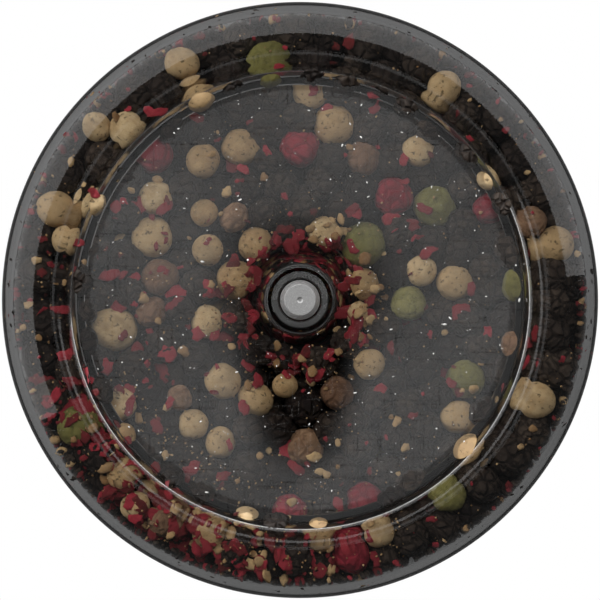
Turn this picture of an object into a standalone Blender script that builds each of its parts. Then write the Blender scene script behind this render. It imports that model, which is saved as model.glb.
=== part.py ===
"""Pepper mill: a clear vessel that is turned by hand above a ceramic grinder in a steel-sleeved base.

The vessel is closed at its top by a recessed panel whose hub holds the drive shaft. The shaft runs down
through the peppercorns into the inner burr, so turning the vessel on its base grinds. The knob under the
burrs sets how fine, and a push-on cap closes the outlet and is what the mill stands on.

Run with: blender --background --python part.py
Sizes are in millimetres and the meshes are scaled to metres. +Z is up, and z = 0 is the surface the mill
stands on. Every turned piece shares the Z axis.
"""

import math

import bmesh
import bpy
from mathutils import Matrix, Vector

# ---------------------------------------------------------------- driving sizes, in millimetres
METRES = 0.001
CLEAR = 0.3  # gap between pieces that touch on the real mill
RUNNING = 0.4  # radial gap where one piece turns or slides in another

VESSEL_RADIUS = 33.0  # widest, just under the rounded top edge
VESSEL_TAPER = 0.8  # how much narrower the mouth is
VESSEL_HEIGHT = 92.7  # mouth to crest
VESSEL_WALL = 1.2
PANEL_THICKNESS = 1.6
CREST_FILLET = 5.5  # rounded outer edge of the closed end
CREST_FLAT = 0.9  # width of the flat ring that the closed end can stand on
STEP_WIDTH = 1.8  # how far the step from the crest to the panel slopes
PANEL_DROP = 2.2  # how far the middle panel lies below the crest
HUB_LENGTH = 9.4
HUB_RADIUS = 3.7
HUB_ROOT = 6.6
HUB_ROOT_DEPTH = 1.5  # how far the sloped root reaches down
BOSS_HEIGHT = 0.7
BOSS_RADIUS = 3.3

SHAFT_RADIUS = 2.2
SHAFT_CHAMFER = 0.5
SHAFT_SQUARE = 3.2  # across the flats of the driving end

BASE_INSET = 0.6  # how far the base lies inside the vessel's widest line
SLEEVE_HEIGHT = 33.8
SLEEVE_GAUGE = 1.0
SHELL_WALL = 2.6
JOURNAL_INSET = 5.4
JOURNAL_RADIUS = VESSEL_RADIUS - JOURNAL_INSET  # the neck that the vessel's collar turns on
JOURNAL_HEIGHT = 8.4
SEAT_HEIGHT = 2.3
SLIDE_RING_HEIGHT = 0.9
COLLAR_FLANGE = 2.9
COLLAR_PLUG = 8.0
SEAL_WIRE = 1.0
CAP_SEAL_WIRE = 1.6

BURR_RADIUS = 15.0
BURR_HEIGHT = 14.0
BURR_WALL = 3.8
BURR_THROAT = BURR_RADIUS - BURR_WALL  # narrowest bore of the outer burr
BURR_FLARE = 2.0  # how much both burrs widen towards the outlet
BURR_GAP = 0.6
CORE_RADIUS = 4.1
STATOR_TEETH = 16
ROTOR_TEETH = 12
TOOTH_DEPTH = 0.9
FRAME_WALL = 4.3
FRAME_FLANGE = 2.2
SPIDER_HEIGHT = 3.6
ARM_WIDTH = 3.0
ARM_COUNT = 3

ADJUSTER_RADIUS = 8.4
ADJUSTER_HEIGHT = 6.0
ADJUSTER_STEM = 3.2
ADJUSTER_FLUTES = 12
ADJUSTER_RISE = 0.6  # how far the knob lifts the inner burr over its range
WASHER_HEIGHT = 0.7

SCREW_RADIUS = 1.2
SCREW_HEAD = 2.4
SCREW_HEAD_HEIGHT = 1.5
SCREW_LENGTH = 4.8
SCREW_SOCKET = 1.6  # across the flats of the hexagon socket

CAP_HEIGHT = 9.4
CAP_WALL = 1.6
CAP_SEAL_DEPTH = 1.1  # gap round the spigot, and depth of the groove in it, for the seal
FOOT_THICKNESS = 1.5
FOOT_PROUD = 0.6
FOOT_WIDTH = 4.4

LARGE_SEGMENTS = 40
SMALL_SEGMENTS = 20
SMALL_FILLET_STEPS = 2
LARGE_FILLET_STEPS = 4

# ---------------------------------------------------------------- heights, stacked up from the floor
CAP_BOTTOM = FOOT_PROUD
CAP_FLOOR = FOOT_THICKNESS + CLEAR + CAP_WALL
CAP_TOP = CAP_BOTTOM + CAP_HEIGHT
SPIGOT_BOTTOM = CAP_FLOOR + 2 * CLEAR
SHELL_BOTTOM = CAP_TOP + CLEAR
SHELL_FLANGE = 1.8
SLEEVE_BOTTOM = SHELL_BOTTOM + SHELL_FLANGE + CLEAR
SLEEVE_TOP = SLEEVE_BOTTOM + SLEEVE_HEIGHT
SEAT_LIP = 1.9  # how far the bearing seat's skirt reaches down over the shell
SHELL_SHOULDER = SLEEVE_TOP + CLEAR + SEAT_LIP - CLEAR
SEAT_TOP = SHELL_SHOULDER + CLEAR + SEAT_HEIGHT
SLIDE_RING_BOTTOM = SEAT_TOP + CLEAR
COLLAR_BOTTOM = SLIDE_RING_BOTTOM + SLIDE_RING_HEIGHT + CLEAR
COLLAR_STEP = COLLAR_BOTTOM + COLLAR_FLANGE
COLLAR_TOP = COLLAR_STEP + COLLAR_PLUG
JOURNAL_TOP = SEAT_TOP + JOURNAL_HEIGHT
MOUTH = COLLAR_STEP + CLEAR
CREST = MOUTH + VESSEL_HEIGHT
PANEL = CREST - PANEL_DROP
PANEL_UNDERSIDE = PANEL - PANEL_THICKNESS
HUB_BOTTOM = PANEL_UNDERSIDE - HUB_LENGTH

ADJUSTER_BOTTOM = CAP_FLOOR + 3.0
ADJUSTER_TOP = ADJUSTER_BOTTOM + ADJUSTER_HEIGHT
SPIDER_BOTTOM = ADJUSTER_TOP + ADJUSTER_RISE + 2 * CLEAR
SPIDER_TOP = SPIDER_BOTTOM + SPIDER_HEIGHT
STEM_TOP = SPIDER_TOP + 2.0
PIVOT_TOP = STEM_TOP + 1.6
WASHER_BOTTOM = STEM_TOP + CLEAR
CORE_BOTTOM = WASHER_BOTTOM + WASHER_HEIGHT + CLEAR
CORE_FLANGE = 1.3
BURR_BOTTOM = CORE_BOTTOM + CORE_FLANGE
BURR_TOP = BURR_BOTTOM + BURR_HEIGHT
CLIP_HEIGHT = 0.6
CLIP_BOTTOM = BURR_TOP + CLEAR
CORE_TOP = CLIP_BOTTOM + CLIP_HEIGHT + 1.2
SPRING_WIRE = 0.35
SPRING_TURNS = 3.5
SPRING_BOTTOM = CORE_TOP + CLEAR
SPRING_LENGTH = 4.6
SEAT_WASHER_BOTTOM = SPRING_BOTTOM + SPRING_LENGTH + CLEAR
BRIDGE_BOTTOM = SEAT_WASHER_BOTTOM + 0.6 + CLEAR
BRIDGE_HEIGHT = 2.6
FRAME_TOP = BURR_TOP
FRAME_FLANGE_TOP = FRAME_TOP - 1.3
SHELF_BOTTOM = FRAME_FLANGE_TOP + CLEAR
SHELF_HEIGHT = 4.0
SHAFT_END = PIVOT_TOP + ADJUSTER_RISE + CLEAR

# ---------------------------------------------------------------- radii that follow from the sizes above
MOUTH_RADIUS = VESSEL_RADIUS - VESSEL_TAPER
MOUTH_BORE = MOUTH_RADIUS - VESSEL_WALL
CHAMBER_RADIUS = VESSEL_RADIUS - VESSEL_WALL
FRAME_RADIUS = BURR_RADIUS + CLEAR + FRAME_WALL
SCREW_ROOM = 2 * (SCREW_HEAD + CLEAR)  # width of the frame's flange that a screw head needs
BASE_LEAST = FRAME_RADIUS + SCREW_ROOM + CLEAR + SHELL_WALL + CAP_SEAL_DEPTH + CAP_WALL
BASE_RADIUS = max(VESSEL_RADIUS - BASE_INSET, BASE_LEAST)
SLEEVE_RADIUS = BASE_RADIUS - 0.1
SHELL_RADIUS = SLEEVE_RADIUS - SLEEVE_GAUGE - CLEAR
CAP_RADIUS = BASE_RADIUS
CAP_BORE = CAP_RADIUS - CAP_WALL
SPIGOT_RADIUS = CAP_BORE - CAP_SEAL_DEPTH
SHELL_BORE = SPIGOT_RADIUS - SHELL_WALL
HOPPER_BORE = JOURNAL_RADIUS - 2.2
COLLAR_BORE = JOURNAL_RADIUS + RUNNING
COLLAR_PLUG_RADIUS = MOUTH_BORE - RUNNING
FRAME_SPIGOT = FRAME_RADIUS + 0.5
SHELF_BORE = FRAME_SPIGOT + CLEAR
FRAME_FLANGE_RADIUS = SHELL_BORE - CLEAR
SCREW_CIRCLE = (FRAME_RADIUS + FRAME_FLANGE_RADIUS) / 2
SHAFT_BORE = SHAFT_RADIUS + CLEAR
FOOT_OUTER = CAP_RADIUS - 3.2


# ---------------------------------------------------------------- tools
def clear_scene():
    for obj in list(bpy.data.objects):
        bpy.data.objects.remove(obj, do_unlink=True)


def material(name, colour, roughness, metallic=0.0, alpha=1.0):
    mat = bpy.data.materials.new(name)
    mat.use_nodes = True
    shader = mat.node_tree.nodes["Principled BSDF"]
    shader.inputs["Base Color"].default_value = (*colour, 1.0)
    shader.inputs["Roughness"].default_value = roughness
    shader.inputs["Metallic"].default_value = metallic
    shader.inputs["Alpha"].default_value = alpha
    return mat


def fillet_reaches(corners):
    """How far each fillet runs along its two edges. Two that meet on a short edge share it."""
    places = [Vector(corner[:2]) for corner in corners]
    count = len(corners)
    wanted = []
    for index, corner in enumerate(corners):
        fillet = corner[2] if len(corner) > 2 else 0.0
        if not fillet:
            wanted.append(0.0)
            continue
        back, ahead = places[index - 1] - places[index], places[(index + 1) % count] - places[index]
        wanted.append(fillet / math.tan(back.angle(ahead) / 2))
    shares = []
    for index in range(count):
        ahead = (index + 1) % count
        length = (places[ahead] - places[index]).length
        shares.append(min(1.0, length / max(wanted[index] + wanted[ahead], 1e-9)))
    return [want * min(shares[index - 1], shares[index]) for index, want in enumerate(wanted)]


def rounded(corners):
    """Outline points from (radius, height) corners. A third number rounds a corner; tiny ones are bevelled."""
    points = []
    count = len(corners)
    reaches = fillet_reaches(corners)
    for index, corner in enumerate(corners):
        at = Vector(corner[:2])
        fillet = corner[2] if len(corner) > 2 else 0.0
        if not fillet:
            points.append(at)
            continue
        back = Vector(corners[index - 1][:2]) - at
        ahead = Vector(corners[(index + 1) % count][:2]) - at
        half = back.angle(ahead) / 2
        reach = reaches[index]
        radius = reach * math.tan(half)
        centre = at + (back.normalized() + ahead.normalized()).normalized() * (radius / math.sin(half))
        start = at + back.normalized() * reach - centre
        end = at + ahead.normalized() * reach - centre
        turn = math.atan2(start.cross(end), start.dot(end))
        steps = LARGE_FILLET_STEPS if fillet > 1.0 else SMALL_FILLET_STEPS if fillet > 0.5 else 1
        for step in range(steps + 1):
            angle = turn * step / steps
            points.append(centre + Matrix.Rotation(angle, 2) @ start)
    return points


def finish(bm, name, mat, flat_angle=30.0):
    """Turns a bmesh in millimetres into a named object in metres."""
    bmesh.ops.remove_doubles(bm, verts=bm.verts, dist=1e-4)
    bmesh.ops.dissolve_degenerate(bm, edges=bm.edges, dist=1e-5)
    bmesh.ops.recalc_face_normals(bm, faces=bm.faces)
    bmesh.ops.scale(bm, vec=(METRES,) * 3, verts=bm.verts)
    mesh = bpy.data.meshes.new(name)
    bm.to_mesh(mesh)
    bm.free()
    mesh.shade_smooth()
    mesh.set_sharp_from_angle(angle=math.radians(flat_angle))
    mesh.materials.append(mat)
    obj = bpy.data.objects.new(name, mesh)
    bpy.context.scene.collection.objects.link(obj)
    return obj


def turned_mesh(corners, segments, sweep=360.0):
    """A bmesh spun about Z. An outline that starts and ends on the axis is left open there."""
    points = rounded(corners)
    bm = bmesh.new()
    verts = [bm.verts.new((p.x, 0.0, p.y)) for p in points]
    on_axis = points[0].x < 1e-6 and points[-1].x < 1e-6
    pairs = list(zip(verts, verts[1:])) + ([] if on_axis else [(verts[-1], verts[0])])
    edges = [bm.edges.new(pair) for pair in pairs]
    whole = sweep >= 360.0
    start = edges if whole else [bm.faces.new(verts)]
    spun = bmesh.ops.spin(
        bm,
        geom=verts + edges + ([] if whole else start),
        cent=(0, 0, 0),
        axis=(0, 0, 1),
        angle=math.radians(sweep),
        steps=segments,
        use_merge=whole,
    )
    if not whole:
        # Spinning a face leaves its far copy as the second end; the first end is still in place.
        assert spun["geom_last"]
    return bm


def turned(name, mat, corners, segments=LARGE_SEGMENTS, sweep=360.0):
    return finish(turned_mesh(corners, segments, sweep), name, mat)


def toothed(name, mat, corners, teeth, depth, cuts, twist=0.0, points_per_tooth=4):
    """A turned piece whose surface is grooved. cuts(radius, z) gives which way a point moves: -1, 0 or 1."""
    bm = turned_mesh(corners, teeth * points_per_tooth)
    for vert in bm.verts:
        radius = math.hypot(vert.co.x, vert.co.y)
        way = cuts(radius, vert.co.z)
        if not way:
            continue
        phase = teeth * math.atan2(vert.co.y, vert.co.x) + twist * vert.co.z
        moved = radius + way * depth * (0.5 - 0.5 * math.cos(phase))
        vert.co.x *= moved / radius
        vert.co.y *= moved / radius
    return finish(bm, name, mat)


def prism(name, sides, across, bottom, top, mat=None, at=(0.0, 0.0), twist=0.0):
    """An upright prism with that many sides, measured across its flats."""
    bm = bmesh.new()
    bmesh.ops.create_cone(
        bm,
        cap_ends=True,
        segments=sides,
        radius1=across / 2 / math.cos(math.pi / sides),
        radius2=across / 2 / math.cos(math.pi / sides),
        depth=top - bottom,
        matrix=Matrix.Translation((*at, (bottom + top) / 2))
        @ Matrix.Rotation(math.pi / sides + twist, 4, "Z"),
    )
    return finish(bm, name, mat or TOOL)


def bar(name, inner, outer, width, bottom, top, angle, mat=None):
    """A straight arm that runs outwards from the axis."""
    bm = bmesh.new()
    bmesh.ops.create_cube(
        bm,
        size=1.0,
        matrix=Matrix.Rotation(angle, 4, "Z")
        @ Matrix.Translation(((inner + outer) / 2, 0, (bottom + top) / 2))
        @ Matrix.Diagonal((outer - inner, width, top - bottom, 1.0)),
    )
    return finish(bm, name, mat or TOOL)


def combine(target, tool, operation):
    """Adds an exact Boolean to target and hides the tool."""
    modifier = target.modifiers.new(f"{operation.lower()}_{tool.name}", "BOOLEAN")
    modifier.object = tool
    modifier.operation = operation
    modifier.solver = "EXACT"
    tool.hide_render = True
    tool.display_type = "WIRE"


def around(count, offset=0.0):
    """Equal angles round the axis."""
    return [offset + 2 * math.pi * i / count for i in range(count)]


# ---------------------------------------------------------------- the vessel and what turns with it
def vessel():
    """Clear vessel: tapered wall, rounded crest, recessed panel, and the hub that holds the shaft."""
    crest_inner = VESSEL_RADIUS - CREST_FILLET - CREST_FLAT
    panel_radius = crest_inner - STEP_WIDTH
    under_crest = CREST - VESSEL_WALL
    return turned(
        "vessel",
        CLEAR_PLASTIC,
        [
            (MOUTH_BORE, MOUTH),
            (MOUTH_RADIUS, MOUTH, 0.4),
            (VESSEL_RADIUS, CREST - CREST_FILLET),
            (VESSEL_RADIUS, CREST, CREST_FILLET),
            (crest_inner, CREST, 0.8),
            (panel_radius, PANEL, 0.6),
            (BOSS_RADIUS, PANEL),
            (BOSS_RADIUS, PANEL + BOSS_HEIGHT, 0.25),
            (SHAFT_BORE, PANEL + BOSS_HEIGHT),
            (SHAFT_BORE, HUB_BOTTOM),
            (HUB_RADIUS, HUB_BOTTOM, 0.4),
            (HUB_RADIUS, PANEL_UNDERSIDE - HUB_ROOT_DEPTH),
            (HUB_ROOT, PANEL_UNDERSIDE),
            (panel_radius - 1.2, PANEL_UNDERSIDE, 0.6),
            (crest_inner - 1.2, under_crest, 0.8),
            (CHAMBER_RADIUS, under_crest, CREST_FILLET - VESSEL_WALL),
            (CHAMBER_RADIUS, CREST - CREST_FILLET - 2.0),
        ],
    )


def drive_shaft():
    """Steel shaft: a round bar with a chamfered end in the panel, squared where it drives the burr."""
    square_top = CORE_TOP + 1.0
    top = PANEL + BOSS_HEIGHT - 0.2
    shaft = turned(
        "drive_shaft",
        STEEL,
        [
            (0.0, top),
            (SHAFT_RADIUS - SHAFT_CHAMFER, top),
            (SHAFT_RADIUS, top - SHAFT_CHAMFER),
            (SHAFT_RADIUS, square_top),
            (0.0, square_top),
        ],
        SMALL_SEGMENTS,
    )
    end = prism("shaft_square", 4, SHAFT_SQUARE, SHAFT_END, square_top + 0.5, STEEL)
    combine(shaft, end, "UNION")
    return shaft


def shaft_clip():
    """Push-on clip under the hub that stops the shaft from being pushed out through the panel."""
    top = HUB_BOTTOM - CLEAR
    return turned(
        "shaft_clip",
        STEEL,
        [(SHAFT_BORE, top - 0.7), (HUB_RADIUS + 0.9, top - 0.7), (HUB_RADIUS + 0.9, top), (SHAFT_BORE, top)],
        SMALL_SEGMENTS,
    )


def vessel_collar():
    """Black ring in the vessel's mouth. Its bore turns on the base's journal."""
    groove = COLLAR_STEP + 2.0
    groove_radius = COLLAR_PLUG_RADIUS - SEAL_WIRE / 2 - 0.2
    groove_top = groove + SEAL_WIRE + 2 * CLEAR
    return turned(
        "vessel_collar",
        BLACK_PLASTIC,
        [
            (COLLAR_BORE, COLLAR_BOTTOM),
            (MOUTH_RADIUS, COLLAR_BOTTOM, 0.4),
            (MOUTH_RADIUS, COLLAR_STEP, 0.3),
            (COLLAR_PLUG_RADIUS, COLLAR_STEP),
            (COLLAR_PLUG_RADIUS, groove),
            (groove_radius, groove),
            (groove_radius, groove_top),
            (COLLAR_PLUG_RADIUS, groove_top),
            (COLLAR_PLUG_RADIUS, COLLAR_TOP, 0.4),
            (COLLAR_BORE, COLLAR_TOP),
        ],
    )


def seal(name, inner, bottom, wire):
    """A seal ring with a six-sided section."""
    centre = Vector((inner + wire / 2, bottom + wire / 2))
    section = [
        centre + Matrix.Rotation(angle, 2) @ Vector((wire / 2, 0)) for angle in around(6, math.pi / 6)
    ]
    return turned(name, SILICONE, [tuple(point) for point in section])


def collar_seal():
    inner = COLLAR_PLUG_RADIUS - SEAL_WIRE / 2 - 0.2 + 0.15
    return seal("collar_seal", inner, COLLAR_STEP + 2.0 + CLEAR, SEAL_WIRE - 0.2)


def slide_ring():
    """Slippery ring that the vessel's collar turns on."""
    inner = JOURNAL_RADIUS + 2 * CLEAR
    return turned(
        "slide_ring",
        POM,
        [
            (inner, SLIDE_RING_BOTTOM),
            (MOUTH_RADIUS - 0.5, SLIDE_RING_BOTTOM),
            (MOUTH_RADIUS - 0.5, SLIDE_RING_BOTTOM + SLIDE_RING_HEIGHT),
            (inner, SLIDE_RING_BOTTOM + SLIDE_RING_HEIGHT),
        ],
    )


def peppercorn_charge():
    """The peppercorns as one plain solid that fills the vessel down to the bridge."""
    gap = RUNNING
    crest_inner = VESSEL_RADIUS - CREST_FILLET - CREST_FLAT
    panel_radius = crest_inner - STEP_WIDTH
    throat, rim = hopper_slope()
    floor = BRIDGE_BOTTOM + BRIDGE_HEIGHT + gap
    slope = (rim.x - throat.x) / (rim.y - throat.y)
    clip_radius = HUB_RADIUS + 0.9 + gap
    return turned(
        "peppercorn_charge",
        PEPPERCORNS,
        [
            (SHAFT_BORE, floor),
            (throat.x + slope * (floor - throat.y) - gap, floor),
            (rim.x - gap, rim.y + gap / 2),
            (rim.x - gap, JOURNAL_TOP + gap),
            (COLLAR_BORE - gap, JOURNAL_TOP + gap),
            (COLLAR_BORE - gap, COLLAR_TOP + gap),
            (MOUTH_BORE - gap, COLLAR_TOP + gap),
            (CHAMBER_RADIUS - gap, CREST - CREST_FILLET - 2.0),
            (CHAMBER_RADIUS - gap, CREST - VESSEL_WALL - gap, CREST_FILLET - VESSEL_WALL - gap),
            (crest_inner - 1.2 + gap, CREST - VESSEL_WALL - gap),
            (panel_radius - 1.2 + gap, PANEL_UNDERSIDE - gap),
            (HUB_ROOT + gap, PANEL_UNDERSIDE - gap),
            (HUB_RADIUS + gap, PANEL_UNDERSIDE - HUB_ROOT_DEPTH - gap),
            (HUB_RADIUS + gap, HUB_BOTTOM),
            (clip_radius, HUB_BOTTOM),
            (clip_radius, HUB_BOTTOM - 1.0 - 2 * gap),
            (SHAFT_BORE, HUB_BOTTOM - 1.0 - 2 * gap),
        ],
    )


# ---------------------------------------------------------------- the base
def base_shell():
    """Black moulding: spigot for the cap, wall, journal for the vessel, and shelf for the grinder."""
    groove = SPIGOT_BOTTOM + 2.4
    groove_radius = SPIGOT_RADIUS - CAP_SEAL_DEPTH
    ring_groove = SEAT_TOP + 3.4
    shell = turned(
        "base_shell",
        BLACK_PLASTIC,
        [
            (SHELL_BORE, SPIGOT_BOTTOM),
            (SPIGOT_RADIUS, SPIGOT_BOTTOM, 0.5),
            (SPIGOT_RADIUS, groove),
            (groove_radius, groove),
            (groove_radius, groove + CAP_SEAL_WIRE + 2 * CLEAR),
            (SPIGOT_RADIUS, groove + CAP_SEAL_WIRE + 2 * CLEAR),
            (SPIGOT_RADIUS, SHELL_BOTTOM),
            (BASE_RADIUS, SHELL_BOTTOM, 0.4),
            (BASE_RADIUS, SHELL_BOTTOM + SHELL_FLANGE, 0.3),
            (SHELL_RADIUS, SHELL_BOTTOM + SHELL_FLANGE),
            (SHELL_RADIUS, SHELL_SHOULDER),
            (JOURNAL_RADIUS, SHELL_SHOULDER),
            (JOURNAL_RADIUS, ring_groove),
            (JOURNAL_RADIUS - 0.8, ring_groove),
            (JOURNAL_RADIUS - 0.8, ring_groove + 1.6),
            (JOURNAL_RADIUS, ring_groove + 1.6),
            (JOURNAL_RADIUS, JOURNAL_TOP, 0.5),
            (HOPPER_BORE, JOURNAL_TOP),
            (HOPPER_BORE, SHELF_BOTTOM + SHELF_HEIGHT),
            (SHELF_BORE, SHELF_BOTTOM + SHELF_HEIGHT),
            (SHELF_BORE, SHELF_BOTTOM),
            (SHELL_BORE, SHELF_BOTTOM),
        ],
    )
    for number, angle in enumerate(around(ARM_COUNT), 1):
        at = (SCREW_CIRCLE * math.cos(angle), SCREW_CIRCLE * math.sin(angle))
        pilot = prism(
            f"pilot_{number}", 12, 2 * (SCREW_RADIUS + CLEAR), SHELF_BOTTOM - 1, SHELF_BOTTOM + 3.2, at=at
        )
        combine(shell, pilot, "DIFFERENCE")
    return shell


def friction_ring():
    """Sprung ring in the journal's groove. It keeps the vessel on, and gives when it is pulled off."""
    bottom = SEAT_TOP + 3.4 + CLEAR
    inner = JOURNAL_RADIUS - 0.6
    outer = JOURNAL_RADIUS + 0.15
    return turned(
        "friction_ring",
        STEEL,
        [(inner, bottom), (outer, bottom), (outer, bottom + 1.0), (inner, bottom + 1.0)],
        sweep=345.0,
    )


def steel_sleeve():
    """Brushed steel band round the base."""
    inner = SLEEVE_RADIUS - SLEEVE_GAUGE
    return turned(
        "steel_sleeve",
        STEEL,
        [
            (inner, SLEEVE_BOTTOM),
            (SLEEVE_RADIUS, SLEEVE_BOTTOM, 0.3),
            (SLEEVE_RADIUS, SLEEVE_TOP, 0.3),
            (inner, SLEEVE_TOP),
        ],
    )


def bearing_seat():
    """Black ring that holds the sleeve down and carries the slide ring."""
    return turned(
        "bearing_seat",
        BLACK_PLASTIC,
        [
            (JOURNAL_RADIUS + CLEAR, SHELL_SHOULDER + CLEAR),
            (SHELL_RADIUS + CLEAR, SHELL_SHOULDER + CLEAR),
            (SHELL_RADIUS + CLEAR, SLEEVE_TOP + CLEAR),
            (BASE_RADIUS, SLEEVE_TOP + CLEAR, 0.3),
            (BASE_RADIUS, SEAT_TOP, 0.4),
            (JOURNAL_RADIUS + CLEAR, SEAT_TOP),
        ],
    )


def hopper_slope():
    """The two ends of the hopper's inner cone: at the throat and at the rim."""
    throat = Vector((BURR_RADIUS - 2.4, FRAME_TOP + CLEAR + 5.0))
    rim = Vector((HOPPER_BORE - CLEAR - 1.3, JOURNAL_TOP - 1.0))
    return throat, rim


def hopper():
    """Funnel that leads the peppercorns into the burrs, with the bridge that guides the shaft."""
    throat, rim = hopper_slope()
    outside = HOPPER_BORE - CLEAR
    bottom = FRAME_TOP + CLEAR
    wall = 1.8
    funnel = turned(
        "hopper",
        BLACK_PLASTIC,
        [
            (throat.x, bottom),
            (BURR_RADIUS + 3.0, bottom),
            (BURR_RADIUS + 3.0, bottom + 1.6),
            (throat.x + wall, bottom + 1.6),
            (throat.x + wall, throat.y - 0.6),
            (outside, rim.y - 2.6),
            (outside, rim.y + 0.5),
            (rim.x, rim.y + 0.5),
            (rim.x, rim.y),
            (throat.x, throat.y),
        ],
    )
    slope = (rim.x - throat.x) / (rim.y - throat.y)
    reach = throat.x + slope * (BRIDGE_BOTTOM + BRIDGE_HEIGHT - throat.y) + 0.3
    boss = turned(
        "bridge_boss",
        BLACK_PLASTIC,
        [
            (SHAFT_RADIUS + RUNNING, BRIDGE_BOTTOM),
            (SHAFT_RADIUS + 2.6, BRIDGE_BOTTOM),
            (SHAFT_RADIUS + 2.6, BRIDGE_BOTTOM + BRIDGE_HEIGHT),
            (SHAFT_RADIUS + RUNNING, BRIDGE_BOTTOM + BRIDGE_HEIGHT),
        ],
        SMALL_SEGMENTS,
    )
    for number, angle in enumerate(around(ARM_COUNT, math.pi / ARM_COUNT), 1):
        arm = bar(
            f"bridge_arm_{number}",
            SHAFT_RADIUS + 1.4,
            reach,
            ARM_WIDTH * 0.8,
            BRIDGE_BOTTOM + 0.2,
            BRIDGE_BOTTOM + BRIDGE_HEIGHT - 0.2,
            angle,
        )
        combine(boss, arm, "UNION")
    combine(funnel, boss, "UNION")
    return funnel


# ---------------------------------------------------------------- the grinder
def grinder_frame():
    """Moulded ring that seats the outer burr, with the outlet spider whose boss carries the adjuster."""
    frame = turned(
        "grinder_frame",
        GREY_PLASTIC,
        [
            (BURR_RADIUS - 1.0, SPIDER_TOP - 1.2),
            (FRAME_RADIUS, SPIDER_TOP - 1.2, 0.4),
            (FRAME_RADIUS, FRAME_FLANGE_TOP - FRAME_FLANGE),
            (FRAME_FLANGE_RADIUS, FRAME_FLANGE_TOP - FRAME_FLANGE),
            (FRAME_FLANGE_RADIUS, FRAME_FLANGE_TOP),
            (FRAME_SPIGOT, FRAME_FLANGE_TOP),
            (FRAME_SPIGOT, FRAME_TOP),
            (BURR_RADIUS + CLEAR, FRAME_TOP),
            (BURR_RADIUS + CLEAR, BURR_BOTTOM - CLEAR),
            (BURR_RADIUS - 1.0, BURR_BOTTOM - CLEAR),
        ],
    )
    boss = turned(
        "spider_boss",
        GREY_PLASTIC,
        [
            (ADJUSTER_STEM + RUNNING, SPIDER_BOTTOM),
            (ADJUSTER_STEM + 2.6, SPIDER_BOTTOM),
            (ADJUSTER_STEM + 2.6, SPIDER_TOP),
            (ADJUSTER_STEM + RUNNING, SPIDER_TOP),
        ],
        SMALL_SEGMENTS,
    )
    for number, angle in enumerate(around(ARM_COUNT, math.pi / ARM_COUNT), 1):
        arm = bar(
            f"spider_arm_{number}",
            ADJUSTER_STEM + 1.4,
            BURR_RADIUS + 1.6,
            ARM_WIDTH,
            SPIDER_BOTTOM + 0.4,
            SPIDER_TOP - 0.4,
            angle,
        )
        combine(boss, arm, "UNION")
    combine(frame, boss, "UNION")
    for number, angle in enumerate(around(ARM_COUNT), 1):
        at = (SCREW_CIRCLE * math.cos(angle), SCREW_CIRCLE * math.sin(angle))
        hole = prism(
            f"flange_hole_{number}",
            12,
            2 * (SCREW_RADIUS + RUNNING),
            FRAME_FLANGE_TOP - FRAME_FLANGE - 1,
            FRAME_FLANGE_TOP + 1,
            at=at,
        )
        combine(frame, hole, "DIFFERENCE")
    return frame


def frame_screw(number, angle):
    """Pan-head screw with a hexagon socket, driven up through the frame's flange into the shelf."""
    top = FRAME_FLANGE_TOP - FRAME_FLANGE - CLEAR
    corners = [
        (0.0, top - SCREW_HEAD_HEIGHT),
        (SCREW_HEAD, top - SCREW_HEAD_HEIGHT, 0.6),
        (SCREW_HEAD, top),
        (SCREW_RADIUS, top),
        (SCREW_RADIUS, top + SCREW_LENGTH - 0.8),
        (0.0, top + SCREW_LENGTH),
    ]
    screw = turned(f"frame_screw_{number}", STEEL, corners, 12)
    socket = prism(
        f"screw_socket_{number}", 6, SCREW_SOCKET, top - SCREW_HEAD_HEIGHT - 1, top - SCREW_HEAD_HEIGHT / 3
    )
    combine(screw, socket, "DIFFERENCE")
    place = Vector((SCREW_CIRCLE * math.cos(angle), SCREW_CIRCLE * math.sin(angle), 0)) * METRES
    screw.location = place
    socket.location = place
    return screw


def outer_burr():
    """Fixed ceramic ring, toothed inside: wide at its mouth, narrow at its throat, flared at the outlet."""
    throat_z = BURR_BOTTOM + 0.43 * BURR_HEIGHT
    return toothed(
        "outer_burr",
        CERAMIC,
        [
            (BURR_THROAT + BURR_FLARE, BURR_BOTTOM),
            (BURR_RADIUS, BURR_BOTTOM),
            (BURR_RADIUS, BURR_TOP),
            (BURR_THROAT + 1.7, BURR_TOP),
            (BURR_THROAT + 0.8, (BURR_TOP + throat_z) / 2),
            (BURR_THROAT, throat_z),
            (BURR_THROAT + BURR_FLARE / 2, (BURR_BOTTOM + throat_z) / 2),
        ],
        STATOR_TEETH,
        TOOTH_DEPTH,
        cuts=lambda radius, z: 1 if radius < BURR_RADIUS - 0.5 else 0,
        twist=0.25,
    )


def inner_burr():
    """Turning ceramic cone, toothed outside, that crushes the peppercorns against the outer burr."""
    throat_z = BURR_BOTTOM + 0.43 * BURR_HEIGHT
    bottom = BURR_BOTTOM + CLEAR
    bore = CORE_RADIUS + CLEAR
    return toothed(
        "inner_burr",
        CERAMIC,
        [
            (bore, bottom),
            (BURR_THROAT + BURR_FLARE - BURR_GAP, bottom),
            (BURR_THROAT + BURR_FLARE / 2 - BURR_GAP, (bottom + throat_z) / 2),
            (BURR_THROAT - BURR_GAP, throat_z),
            (BURR_THROAT - 2.8, (BURR_TOP + throat_z) / 2),
            (CORE_RADIUS + 2.3, BURR_TOP),
            (bore, BURR_TOP),
        ],
        ROTOR_TEETH,
        TOOTH_DEPTH,
        cuts=lambda radius, z: -1 if radius > CORE_RADIUS + 1.0 else 0,
        twist=-0.3,
    )


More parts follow.
